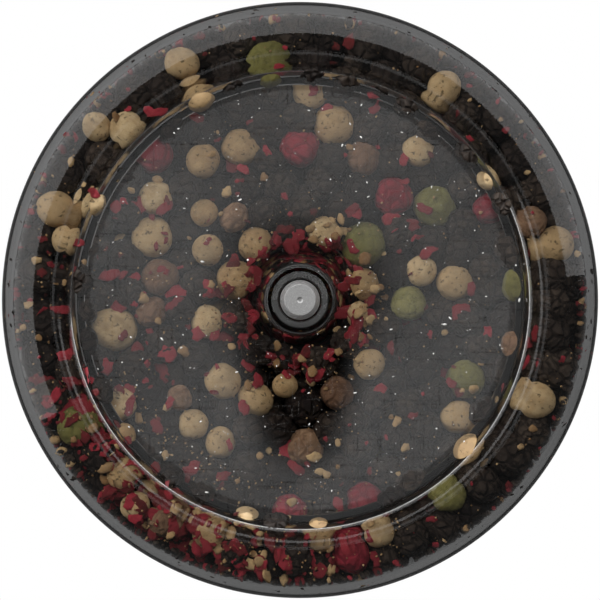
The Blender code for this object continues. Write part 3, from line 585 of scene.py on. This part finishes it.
def top_places(rng):
    """Coloured berries against the closed end, one row each: x, y, z, radius, kind, 1 as they stay put."""
    rows = []
    names = [name for name, (count, _, _) in AGAINST_PANEL.items() for _ in range(count)]
    for name in rng.permutation(names):
        _, mean, spread = AGAINST_PANEL[name]
        radius = float(np.clip(rng.normal(mean, spread), 2.8, 5.4)) / 2
        for _ in range(300):
            angle = rng.uniform(0, 2 * math.pi)
            x = y = 0.0
            reach = CHAMBER_RADIUS * math.sqrt(rng.uniform())
            if rows and rng.uniform() < CLUMPING:
                near = rows[rng.integers(len(rows))]
                x, y, reach = near[0], near[1], near[3] + radius + GAP
            x, y = x + reach * math.cos(angle), y + reach * math.sin(angle)
            if is_free(x, y, radius, rows):
                rows.append((x, y, UNDER_PANEL + 2.0, radius, KINDS.index(name), 1))
                break
    return rows


def filling_places(rng):
    """The rest: under the closed end, round its corner, along the wall, and above the bridge."""
    spots = []
    for _ in range(760):
        reach = 29.5 * math.sqrt(rng.uniform(0.02, 1))
        spots.append((reach, UNDER_PANEL - rng.uniform(-1.5, 13)))
    for ring in range(3):
        for _ in range(42):
            spots.append((CHAMBER_RADIUS - BERRY_RADIUS - 0.2, UNDER_CREST - 2.5 - 3.6 * ring))
    for _ in range(1900):
        spots.append((rng.uniform(22.5, 29.5), rng.uniform(62, UNDER_PANEL - 11)))
    for _ in range(130):
        spots.append((rng.uniform(14, 26), rng.uniform(CHARGE_BOTTOM + 2, 62)))
    shares = (1 - sum(COLOURED_SHARE), *COLOURED_SHARE)
    rows = []
    for reach, z in spots:
        angle = rng.uniform(0, 2 * math.pi)
        size = float(np.clip(rng.normal(BERRY_RADIUS, 0.17), 1.7, 2.6))
        kind = int(rng.choice(len(KINDS), p=shares))
        if z > UNDER_PANEL - 4.0:
            kind = 0
        rows.append((reach * math.cos(angle), reach * math.sin(angle), z, size, kind, 0))
    return rows


def settle(rows):
    """Pushes overlapping berries apart inside the chamber."""
    data = np.array(rows, float)
    points, sizes, pinned = data[:, :3].copy(), data[:, 3], data[:, 5] > 0
    home = points[:, :2].copy()
    for number in range(SETTLING_ROUNDS):
        if number % 2 == 0:
            tree = kdtree.KDTree(len(points))
            for index, point in enumerate(points):
                tree.insert(point, index)
            tree.balance()
            pairs = set()
            for index, point in enumerate(points):
                for _, other, _ in tree.find_range(point, 5.4):
                    if other > index:
                        pairs.add((index, other))
            pairs = np.array(sorted(pairs))
        a, b = pairs[:, 0], pairs[:, 1]
        apart = points[b] - points[a]
        length = np.linalg.norm(apart, axis=1) + 1e-9
        overlap = (sizes[a] + sizes[b]) * 0.985 - length
        hit = overlap > 0
        a, b, overlap = a[hit], b[hit], overlap[hit]
        push = apart[hit] / length[hit, None] * overlap[:, None] * 0.5
        weight_a = np.where(pinned[a], 0.0, np.where(pinned[b], 2.0, 1.0))[:, None]
        weight_b = np.where(pinned[b], 0.0, np.where(pinned[a], 2.0, 1.0))[:, None]
        move = np.zeros_like(points)
        np.add.at(move, a, -push * weight_a)
        np.add.at(move, b, push * weight_b)
        points += move * 0.8
        points[pinned, :2] = home[pinned]
        points[pinned, 2] += 0.6
        hold_in(points, sizes)
    data[:, :3] = points
    return data


def sphere(level):
    """Vertices and triangles of a unit icosphere."""
    bm = bmesh.new()
    bmesh.ops.create_icosphere(bm, subdivisions=level, radius=1.0)
    verts = np.array([v.co for v in bm.verts])
    faces = np.array([[v.index for v in f.verts] for f in bm.faces])
    bm.free()
    return verts, faces


def lumpy(verts, seed, wrinkle, lump, squash):
    """Displaces a unit sphere into a dried berry: ridged wrinkles, slow lumps, and a slight squash."""
    out = verts.copy()
    shift = Vector((seed * 7.3, seed * 3.1, seed * 5.7))
    for index, vert in enumerate(verts):
        at = Vector(vert)
        slow = noise.noise(at * 1.1 + shift)
        ridge = 1.0 - abs(noise.noise(at * 2.6 + shift)) * 2.0
        fine = 1.0 - abs(noise.noise(at * 5.2 + shift)) * 2.0
        out[index] = vert * (1.0 + lump * slow + wrinkle * (ridge * 0.7 + fine * 0.3 - 0.6))
    out[:, 2] *= squash
    return out


def random_turn(rng):
    quaternion = rng.normal(size=4)
    w, x, y, z = quaternion / np.linalg.norm(quaternion)
    return np.array(
        [
            [1 - 2 * (y * y + z * z), 2 * (x * y - z * w), 2 * (x * z + y * w)],
            [2 * (x * y + z * w), 1 - 2 * (x * x + z * z), 2 * (y * z - x * w)],
            [2 * (x * z - y * w), 2 * (y * z + x * w), 1 - 2 * (x * x + y * y)],
        ]
    )


def joined(name, parts, mat, replaced=("peppercorn_charge",)):
    """One mesh from (vertices, faces, tint) parts, in millimetres."""
    verts, faces, tints, start = [], [], [], 0
    for part_verts, part_faces, tint in parts:
        verts.append(part_verts)
        faces.append(part_faces + start)
        tints.append(np.full(len(part_verts), tint))
        start += len(part_verts)
    verts, faces, tints = np.concatenate(verts) * METRES, np.concatenate(faces), np.concatenate(tints)
    mesh = bpy.data.meshes.new(name)
    mesh.from_pydata(verts.tolist(), [], faces.tolist())
    layer = mesh.attributes.new("tint", "FLOAT", "POINT")
    layer.data.foreach_set("value", tints.astype(np.float32))
    mesh.materials.append(mat)
    mesh.shade_smooth()
    mesh.update()
    piece = bpy.data.objects.new(name, mesh)
    return link(piece, "vessel", replaced)


# How wrinkled and how lumpy each kind of berry is.
SHAPES = {
    "black": (0.2, 0.1),
    "white": (0.03, 0.07),
    "green": (0.06, 0.08),
    "pink": (0.06, 0.1),
    "brown": (0.09, 0.1),
}
SKINS = {
    "black": dict(dark=(0.008, 0.006, 0.006), mid=(0.022, 0.016, 0.013), pale=(0.055, 0.04, 0.03),
                  wrinkle=1.0, rough=0.55, cell=0.8, depth=0.35),
    "white": dict(dark=(0.27, 0.155, 0.068), mid=(0.45, 0.30, 0.15), pale=(0.62, 0.46, 0.26),
                  wrinkle=0.12, rough=0.6, cell=0.5, depth=0.12, spots=0.9),
    "green": dict(dark=(0.10, 0.09, 0.025), mid=(0.17, 0.155, 0.05), pale=(0.27, 0.24, 0.09),
                  wrinkle=0.3, rough=0.6, cell=0.6, depth=0.2, spots=0.6),
    "pink": dict(dark=(0.10, 0.008, 0.014), mid=(0.19, 0.016, 0.026), pale=(0.31, 0.036, 0.05),
                 wrinkle=0.6, rough=0.45, cell=0.6, depth=0.3, spots=0.3, coat=0.1),
    "brown": dict(dark=(0.1, 0.05, 0.03), mid=(0.18, 0.1, 0.06), pale=(0.28, 0.17, 0.1),
                  wrinkle=0.45, rough=0.6, cell=0.7, depth=0.25, spots=0.4),
}
COLOURED_SHARE = (0.1, 0.03, 0.045, 0.05)
VARIANTS = 9
NEAR_TOP = 9.0
FACES_PER_PIECE = 150000


def berries():
    rng = np.random.default_rng(11)
    data = settle(top_places(rng) + filling_places(rng))
    fine, coarse = sphere(4), sphere(3)
    for kind, name in enumerate(KINDS):
        wrinkle, lump = SHAPES[name]
        mat = berry(name + "_berry", **SKINS[name])
        library = {}
        for level, (verts, _) in enumerate((coarse, fine)):
            squashes = rng.uniform(0.88, 1.0, VARIANTS)
            library[level] = [
                lumpy(verts, 10 * kind + v, wrinkle, lump, squashes[v]) for v in range(VARIANTS)
            ]
        groups, faces_used = [[]], 0
        for row in data:
            if int(row[4]) != kind:
                continue
            level = 1 if row[2] > UNDER_PANEL - NEAR_TOP else 0
            verts = library[level][rng.integers(VARIANTS)]
            place = (verts @ random_turn(rng).T) * row[3] + row[:3]
            faces = (coarse, fine)[level][1]
            if faces_used + len(faces) > FACES_PER_PIECE:
                groups.append([])
                faces_used = 0
            groups[-1].append((place, faces, rng.uniform()))
            faces_used += len(faces)
        for number, group in enumerate(groups, 1):
            if group:
                joined(f"{name}_peppercorns_{number}", group, mat)
    return data


class Pile:
    """Finds where small things rest between the berries."""

    def __init__(self, data):
        near = data[data[:, 2] > UNDER_PANEL - 20]
        self.sizes = near[:, 3]
        self.tree = kdtree.KDTree(len(near))
        for index, row in enumerate(near):
            self.tree.insert(row[:3], index)
        self.tree.balance()

    def blocked(self, x, y, z, half):
        found = self.tree.find_range((x, y, z), 3.4)
        return any(distance < self.sizes[index] + half for _, index, distance in found)

    def drop(self, x, y, half):
        """The height at which a thing of that half thickness comes to rest, or None where it can't."""
        z = ceiling(math.hypot(x, y)) - half - 0.05
        if self.blocked(x, y, z, half):
            return None
        while z > UNDER_PANEL - 8.0:
            if self.blocked(x, y, z - 0.1, half):
                return z
            z -= 0.1
        return None


def flake(rng, size, curl):
    """A torn piece of skin: a curved sheet with a ragged outline and a thin edge, about its own centre."""
    around, rings = 11, 3
    phase = rng.uniform(0, 6.3)
    edge = 1.0 + 0.28 * np.sin(2 * np.arange(around) * 6.283 / around + phase) + rng.normal(0, 0.14, around)
    verts, faces = [], []
    for side in (1.0, -1.0):
        verts.append((0, 0, 0.025 * side))
        for ring in range(1, rings + 1):
            for step in range(around):
                angle = 2 * math.pi * step / around
                reach = size * edge[step] * ring / rings
                x, y = reach * math.cos(angle), reach * math.sin(angle) * 0.75
                sag = -(x * x + y * y * 0.6) / (2 * curl) + 0.06 * math.sin(3 * x + phase) * ring
                verts.append((x, y, sag + 0.025 * side * (1.0 if ring < rings else 0.5)))
    half = 1 + around * rings
    for base, flip in ((0, False), (half, True)):
        for step in range(around):
            after = (step + 1) % around
            tri = (base, base + 1 + step, base + 1 + after)
            faces.append(tri[::-1] if flip else tri)
            for ring in range(rings - 1):
                a = base + 1 + ring * around + step
                b = base + 1 + ring * around + after
                for tri in ((a, a + around, b + around), (a, b + around, b)):
                    faces.append(tri[::-1] if flip else tri)
    rim = 1 + (rings - 1) * around
    for step in range(around):
        after = (step + 1) % around
        a, b = rim + step, rim + after
        faces += [(a, a + half, b + half), (a, b + half, b)]
    return np.array(verts), np.array(faces)


def tilt(rng, amount):
    """A random turn about Z, then a lean of up to that many radians."""
    turn, lean, way = rng.uniform(0, 6.3), rng.normal(0, amount), rng.uniform(0, 6.3)
    axis = Vector((math.cos(way), math.sin(way), 0))
    return np.array(Matrix.Rotation(lean, 3, axis) @ Matrix.Rotation(turn, 3, "Z"))


def scattered(rng, count, clock, spread, low, high):
    """Random places about a clock angle, between two distances from the axis."""
    angles = np.radians(rng.normal(clock, spread, count))
    reach = np.sqrt(rng.uniform(low * low, high * high, count))
    return list(zip(reach * np.cos(angles), reach * np.sin(angles)))


def debris(data):
    """Red skins, seed chips and dust between the berries and against the panel."""
    rng = np.random.default_rng(23)
    pile = Pile(data)
    red, chips, dust = [], [], []
    for x, y in scattered(rng, 26, 0, 400, 4.6, 26.5):
        size = rng.uniform(0.5, 1.05)
        verts, faces = flake(rng, size, rng.uniform(2.2, 4.0))
        verts = verts @ tilt(rng, 0.08).T
        verts[:, 2] -= verts[:, 2].max()
        red.append((verts + (x, y, ceiling(math.hypot(x, y)) - 0.04), faces, rng.uniform(0.1, 0.9)))
    places = scattered(rng, 150, 0, 400, 4.5, 30) + scattered(rng, 240, 238, 26, 24, 30.8)
    places += scattered(rng, 130, 0, 400, 4.2, 8.5) + scattered(rng, 50, 185, 24, 8, 24)
    for x, y in places:
        size = 0.25 + 0.95 * rng.uniform() ** 1.6
        z = pile.drop(x, y, 0.1)
        if z is None:
            continue
        verts, faces = flake(rng, size, rng.uniform(1.8, 4.0))
        verts = verts @ tilt(rng, 0.45).T
        verts[:, 2] -= max(0.0, z + verts[:, 2].max() - ceiling(math.hypot(x, y)) + 0.03)
        red.append((verts + (x, y, z), faces, rng.uniform()))
    chip_shapes = [lumpy(sphere(2)[0], 70 + v, 0.25, 0.5, rng.uniform(0.35, 0.7)) for v in range(6)]
    chip_faces = sphere(2)[1]
    places = scattered(rng, 90, 0, 400, 3, 30) + scattered(rng, 80, 240, 30, 22, 30.5)
    places += scattered(rng, 40, 20, 70, 5, 10)
    for x, y in places:
        size = rng.uniform(0.22, 0.62)
        z = pile.drop(x, y, size * 0.4)
        if z is not None:
            shape = chip_shapes[rng.integers(6)] * (rng.uniform(0.8, 1.6), 1, 1)
            chips.append((shape @ tilt(rng, 0.5).T * size + (x, y, z), chip_faces, rng.uniform()))
    speck, speck_faces = sphere(1)
    places = scattered(rng, 500, 0, 400, 3, 30.5) + scattered(rng, 700, 240, 32, 20, 30.8)
    places += scattered(rng, 200, 0, 400, 5, 10)
    for x, y in places:
        size = rng.uniform(0.05, 0.15)
        z = pile.drop(x, y, size)
        if z is not None:
            shape = speck * (rng.uniform(0.7, 1.6), 1, 0.6)
            dust.append((shape @ tilt(rng, 0.6).T * size + (x, y, z), speck_faces, rng.uniform()))
    joined("red_skins", red, skin_flake())
    chip_mat = chip_material()
    joined("seed_chips", chips, chip_mat)
    joined("pepper_dust", dust, chip_mat)


def wall_crumbs(pile, black):
    """Broken pepper, skins and chips in the narrow gaps between the berries and the wall or the hub."""
    rng = np.random.default_rng(41)
    shapes = [lumpy(sphere(2)[0], 90 + v, 0.3, 0.55, rng.uniform(0.4, 0.8)) for v in range(6)]
    faces = sphere(2)[1]
    kept = {"black": [], "chips": [], "red": []}
    for _ in range(5200):
        angle, depth = rng.uniform(0, 2 * math.pi), rng.uniform(0, 1) ** 1.3 * 13
        size = 0.22 + 0.5 * rng.uniform() ** 2
        z = UNDER_CREST - size - 0.1 - depth
        below = max(0.0, z - (UNDER_CREST - INNER_FILLET))
        arc = math.sqrt(max(0.0, INNER_FILLET**2 - below**2))
        reach = CHAMBER_RADIUS - INNER_FILLET + arc - size * 0.75 - 0.08
        x, y = reach * math.cos(angle), reach * math.sin(angle)
        kind = rng.choice(("black", "chips", "red"), p=(0.7, 0.08, 0.22))
        turn, tint, stretch = tilt(rng, 0.5), rng.uniform(), rng.uniform(0.8, 1.5)
        if z > ceiling(reach) - size - 0.05 or pile.blocked(x, y, z, size * 0.55):
            continue
        shape = shapes[rng.integers(6)] * (stretch, 1, 1 if kind != "red" else 0.3)
        kept[kind].append((shape @ turn.T * size * 0.8 + (x, y, z), faces, tint))
    for _ in range(900):
        angle, z = rng.uniform(0, 2 * math.pi), UNDER_PANEL - rng.uniform(HUB_ROOT_DEPTH + 0.6, 8.5)
        size = 0.3 + 0.5 * rng.uniform()
        reach = HUB_RADIUS + 0.12 + size * 0.3
        x, y = reach * math.cos(angle), reach * math.sin(angle)
        kind, tint = rng.choice(("black", "chips", "red"), p=(0.3, 0.15, 0.55)), rng.uniform()
        if pile.blocked(x, y, z, size * 0.3):
            continue
        turn = np.array(Matrix.Rotation(angle, 3, "Z") @ Matrix.Rotation(math.pi / 2, 3, "Y"))
        shape = shapes[rng.integers(6)] * (1, 1, 0.3)
        kept[kind].append((shape @ turn.T * size + (x, y, z), faces, tint))
    joined("wall_crumbs_black", kept["black"], black)
    joined("wall_crumbs_chips", kept["chips"], bpy.data.materials["seed_chips"])
    joined("wall_crumbs_red", kept["red"], bpy.data.materials["red_skin"])


def lint():
    """Pale dust that lies on the outside of the closed end."""
    rng = np.random.default_rng(31)
    speck, speck_faces = sphere(1)
    s = Shader("lint")
    s.set(colour=s.mix(s.attribute("tint"), (0.5, 0.49, 0.47), (0.8, 0.79, 0.77)), rough=0.8)
    parts = []
    for x, y in scattered(rng, 320, 0, 400, 3.5, PANEL_RADIUS - 0.6):
        size = abs(rng.normal(0, 0.04)) + 0.02
        shape = speck * (rng.uniform(0.8, 2.6), 1, 0.5)
        verts = shape @ tilt(rng, 0.05).T * size + (x, y, PANEL + size * 0.5)
        parts.append((verts, speck_faces, rng.uniform()))
    joined("lint", parts, s.mat, ())


# ---------------------------------------------------------------- finer versions of the turned pieces
def drive_shaft():
    """Steel shaft with a chamfered end, a centre mark, and its squared lower end."""
    top, low = SHAFT_TOP, bottom_of("drive_shaft")
    shoulder = top_of("drive_core") + 1.0
    outline = [
        (0.0, top - 0.16),
        (0.18, top - 0.14, 0.05),
        (0.34, top, 0.05),
        (SHAFT_RADIUS - 0.5, top, 0.1),
        (SHAFT_RADIUS, top - 0.5, 0.1),
        (SHAFT_RADIUS, shoulder),
        (0.0, shoulder),
    ]
    piece = turned("shaft_visual", SHAFT_END, outline, 96, 6, 24.0)
    bm = bmesh.new()
    bm.from_mesh(piece.data)
    square = bmesh.ops.create_cube(
        bm,
        size=1.0,
        matrix=Matrix.Translation((0, 0, (low + shoulder) / 2 * METRES))
        @ Matrix.Diagonal((3.2 * METRES, 3.2 * METRES, (shoulder - low + 0.2) * METRES, 1.0)),
    )
    edges = {edge for vert in square["verts"] for edge in vert.link_edges}
    bmesh.ops.bevel(bm, geom=list(edges), offset=0.25 * METRES, segments=3, profile=0.5, affect="EDGES")
    bm.to_mesh(piece.data)
    bm.free()
    link(piece, "vessel", ["drive_shaft"])


def outside_pieces():
    base, edge = BASE_RADIUS, 0.4
    cap_top, shell_low = top_of("dust_cap"), top_of("dust_cap") + 0.3
    sleeve_low, sleeve_top = bottom_of("steel_sleeve"), top_of("steel_sleeve")
    seat_low, seat_top = bottom_of("bearing_seat"), top_of("bearing_seat")
    journal_top = top_of("base_shell")
    collar_low, collar_top = bottom_of("vessel_collar"), top_of("vessel_collar")
    step = MOUTH - 0.3
    plug = MOUTH_BORE - 0.4
    outline = [
        (28.0, collar_low, 0.3),
        (MOUTH_RADIUS, collar_low, 0.5),
        (MOUTH_RADIUS, step, 0.35),
        (plug, step),
        (plug, step + 2.0, 0.2),
        (plug - 0.7, step + 2.0, 0.1),
        (plug - 0.7, step + 3.6, 0.1),
        (plug, step + 3.6, 0.2),
        (plug, collar_top, 0.4),
        (28.0, collar_top, 0.3),
    ]
    link(turned("collar_visual", BLACK, outline), "vessel", ["vessel_collar"])
    outline = [
        (plug - 0.55, step + 2.35, 0.3),
        (plug + 0.25, step + 2.35, 0.4),
        (plug + 0.25, step + 3.25, 0.4),
        (plug - 0.55, step + 3.25, 0.3),
    ]
    link(turned("seal_visual", RUBBER, outline), "vessel", ["collar_seal"])
    outline = [
        (28.2, bottom_of("slide_ring"), 0.1),
        (MOUTH_RADIUS - 0.5, bottom_of("slide_ring"), 0.25),
        (MOUTH_RADIUS - 0.5, top_of("slide_ring"), 0.25),
        (28.2, top_of("slide_ring"), 0.1),
    ]
    link(turned("slide_ring_visual", SLIDE, outline), "turning_ring", ["slide_ring"])
    outline = [
        (27.9, seat_low),
        (31.3, seat_low),
        (31.3, sleeve_top + 0.3),
        (base, sleeve_top + 0.3, edge),
        (base, seat_top, 0.6),
        (27.9, seat_top, 0.2),
    ]
    link(turned("seat_visual", BLACK, outline), "base", ["bearing_seat"])
    outline = [
        (31.3, sleeve_low),
        (32.3, sleeve_low, 0.45),
        (32.3, sleeve_low + 2.2, 0.25),
        (32.12, sleeve_low + 2.5, 0.2),
        (32.3, sleeve_low + 2.8, 0.25),
        (32.3, sleeve_top, 0.45),
        (31.3, sleeve_top),
    ]
    link(turned("sleeve_visual", BRUSHED, outline, 192), "base", ["steel_sleeve"])
    groove = seat_top + 3.4
    spigot, seal_groove = 29.7, bottom_of("base_shell") + 2.4
    shelf = top_of("grinder_frame") - 1.0
    outline = [
        (27.1, bottom_of("base_shell"), 0.3),
        (spigot, bottom_of("base_shell"), 0.6),
        (spigot, seal_groove, 0.15),
        (spigot - 1.1, seal_groove),
        (spigot - 1.1, seal_groove + 2.2),
        (spigot, seal_groove + 2.2, 0.15),
        (spigot, shell_low),
        (base, shell_low, edge),
        (base, sleeve_low - 0.3, 0.3),
        (31.0, sleeve_low - 0.3),
        (31.0, seat_low - 0.3),
        (27.6, seat_low - 0.3),
        (27.6, groove, 0.15),
        (26.8, groove),
        (26.8, groove + 1.6),
        (27.6, groove + 1.6, 0.15),
        (27.6, journal_top, 0.6),
        (25.4, journal_top, 0.3),
        (25.4, shelf + 4.0),
        (20.4, shelf + 4.0),
        (20.4, shelf),
        (27.1, shelf),
    ]
    link(turned("shell_visual", BLACK, outline), "base", ["base_shell"])
    foot_out, foot_in = 29.2, 24.8
    low = bottom_of("dust_cap")
    outline = [
        (0.0, low + 0.6),
        (foot_in - 4.0, low + 0.6, 0.4),
        (foot_in - 2.6, low, 0.4),
        (foot_in - 0.3, low, 0.2),
        (foot_in - 0.3, low + 1.2),
        (foot_out + 0.3, low + 1.2),
        (foot_out + 0.3, low, 0.2),
        (base, low, 1.4),
        (base, cap_top - 5.2, 0.3),
        (base - 0.22, cap_top - 4.9, 0.2),
        (base, cap_top - 4.6, 0.3),
        (base, cap_top, 0.35),
        (30.8, cap_top, 0.3),
        (30.8, low + 2.8, 0.9),
        (0.0, low + 2.8),
    ]
    link(turned("cap_visual", BLACK, outline), "cap", ["dust_cap"])
    outline = [
        (foot_in, 0.0, 0.3),
        (foot_out, 0.0, 0.3),
        (foot_out, 1.5),
        (foot_in, 1.5),
    ]
    link(turned("foot_visual", RUBBER, outline), "cap", ["foot_ring"])


def repaint():
    """Gives the CAD pieces that stay in view their finished materials."""
    grey = plastic("grey_moulding", (0.085, 0.085, 0.09), 0.45, 2.0, 0.015)
    coil = steel("spring_steel", tone=0.5)
    fired = ceramic()
    finishes = {
        "shaft_clip": coil,
        "friction_ring": coil,
        "core_clip": coil,
        "pressure_spring": coil,
        "thrust_washer": SHAFT_STEEL,
        "spring_washer": SHAFT_STEEL,
        "frame_screw_1": SHAFT_STEEL,
        "frame_screw_2": SHAFT_STEEL,
        "frame_screw_3": SHAFT_STEEL,
        "hopper": BLACK,
        "drive_core": BLACK,
        "cap_seal": RUBBER,
        "grinder_frame": grey,
        "grind_adjuster": grey,
        "outer_burr": fired,
        "inner_burr": fired,
    }
    for node, mat in finishes.items():
        materials = frame["nodes"][node].data.materials
        materials.clear()
        materials.append(mat)


SHAFT_STEEL = steel("turned_steel", tone=0.6)
SHAFT_END = steel("shaft_end_steel", tone=0.4, metal=0.55, rough=0.16)
BRUSHED = steel("brushed_steel", tone=0.55)
BLACK = plastic("black_moulding", (0.018, 0.018, 0.02))
RUBBER = rubber()
SLIDE = plastic("slide_plastic", (0.62, 0.62, 0.59), 0.35, 2.0, 0.008)

vessel()
lint()
drive_shaft()
outside_pieces()
repaint()
placed = berries()
debris(placed)
wall_crumbs(Pile(placed), bpy.data.materials["black_berry"])


# ---------------------------------------------------------------- stage, lights, camera, in metres
def set_piece(name, bm, mat):
    """Puts a bmesh in the scene as an object with one material."""
    mesh = bpy.data.meshes.new(name)
    bm.to_mesh(mesh)
    bm.free()
    mesh.materials.append(mat)
    made = bpy.data.objects.new(name, mesh)
    scene.collection.objects.link(made)
    return made


def stage_floor():
    bm = bmesh.new()
    bmesh.ops.create_grid(bm, x_segments=4, y_segments=4, size=3.0)
    floor = set_piece("floor", bm, floor_material())
    floor.location.z = -0.0002


def overhead_card():
    """A face above the camera that the flat panel mirrors. Only reflections and refracted rays see it."""
    bm = bmesh.new()
    bmesh.ops.create_grid(bm, x_segments=1, y_segments=1, size=0.08)
    card = set_piece("overhead_card", bm, card_material())
    card.location.z = PANEL * METRES + 0.6
    card.visible_camera = card.visible_diffuse = card.visible_shadow = False


def side_wall():
    """A curved softbox round the left and the back, which the rounded outer edge mirrors as a pale band."""
    radius, low, high = 0.55, 0.1, 0.75
    first, sweep, steps = 5, 200, 24
    bm = bmesh.new()
    rows = []
    for step in range(steps + 1):
        angle = math.radians(first + sweep * step / steps)
        x, y = radius * math.cos(angle), radius * math.sin(angle)
        rows.append([bm.verts.new((x, y, z)) for z in (low, high)])
    for one, two in zip(rows, rows[1:]):
        bm.faces.new((one[0], one[1], two[1], two[0]))
    s = Shader("side_wall")
    glow = s.add("ShaderNodeEmission")
    bounces = s.add("ShaderNodeLightPath").outputs["Ray Depth"]
    # Light that reaches the wall by a second bounce would draw a white arc on the step.
    s.link(s.ramp(bounces, 1.0, 2.0, 1.7, 0.0), glow.inputs["Strength"])
    s.link(glow.outputs[0], s.out.inputs["Surface"])
    wall = set_piece("side_wall", bm, s.mat)
    wall.visible_camera = wall.visible_shadow = wall.visible_transmission = False


def lamp(name, place, size, power):
    """A rectangular softbox that lights the mill but is never itself seen or mirrored."""
    data = bpy.data.lights.new(name, "AREA")
    data.shape = "RECTANGLE"
    data.size, data.size_y = size
    data.energy = power
    light = bpy.data.objects.new(name, data)
    light.location = place
    light.rotation_mode = "QUATERNION"
    light.rotation_quaternion = (Vector((0, 0, 0.12)) - Vector(place)).to_track_quat("-Z", "Y")
    light.visible_camera = light.visible_glossy = light.visible_transmission = False
    scene.collection.objects.link(light)


def world():
    """White behind the object, and dim as a source of light."""
    made = bpy.data.worlds.new("studio")
    made.use_nodes = True
    nodes, links = made.node_tree.nodes, made.node_tree.links
    background = nodes["Background"]
    background.inputs["Color"].default_value = (1, 1, 1, 1)
    seen = nodes.new("ShaderNodeMapRange")
    seen.inputs["To Min"].default_value = 0.05
    seen.inputs["To Max"].default_value = 1.0
    links.new(nodes.new("ShaderNodeLightPath").outputs["Is Camera Ray"], seen.inputs["Value"])
    links.new(seen.outputs["Result"], background.inputs["Strength"])
    scene.world = made


def camera():
    data = bpy.data.cameras.new("camera")
    data.lens = 300
    data.sensor_width = 36
    data.clip_start, data.clip_end = 0.05, 20
    half_width = 0.03322
    distance = half_width / (18 / data.lens)
    cam = bpy.data.objects.new("camera", data)
    cam.location = (0, 0, (CREST - CREST_FILLET) * METRES + distance)
    scene.collection.objects.link(cam)
    scene.camera = cam


stage_floor()
world()
overhead_card()
lamp("key_left", (-0.5, 0.25, 0.45), (0.5, 0.5), 3.2)
lamp("key_top", (0.1, 0.3, 0.75), (0.5, 0.4), 3.2)
side_wall()
camera()
scene.view_settings.view_transform = "Standard"
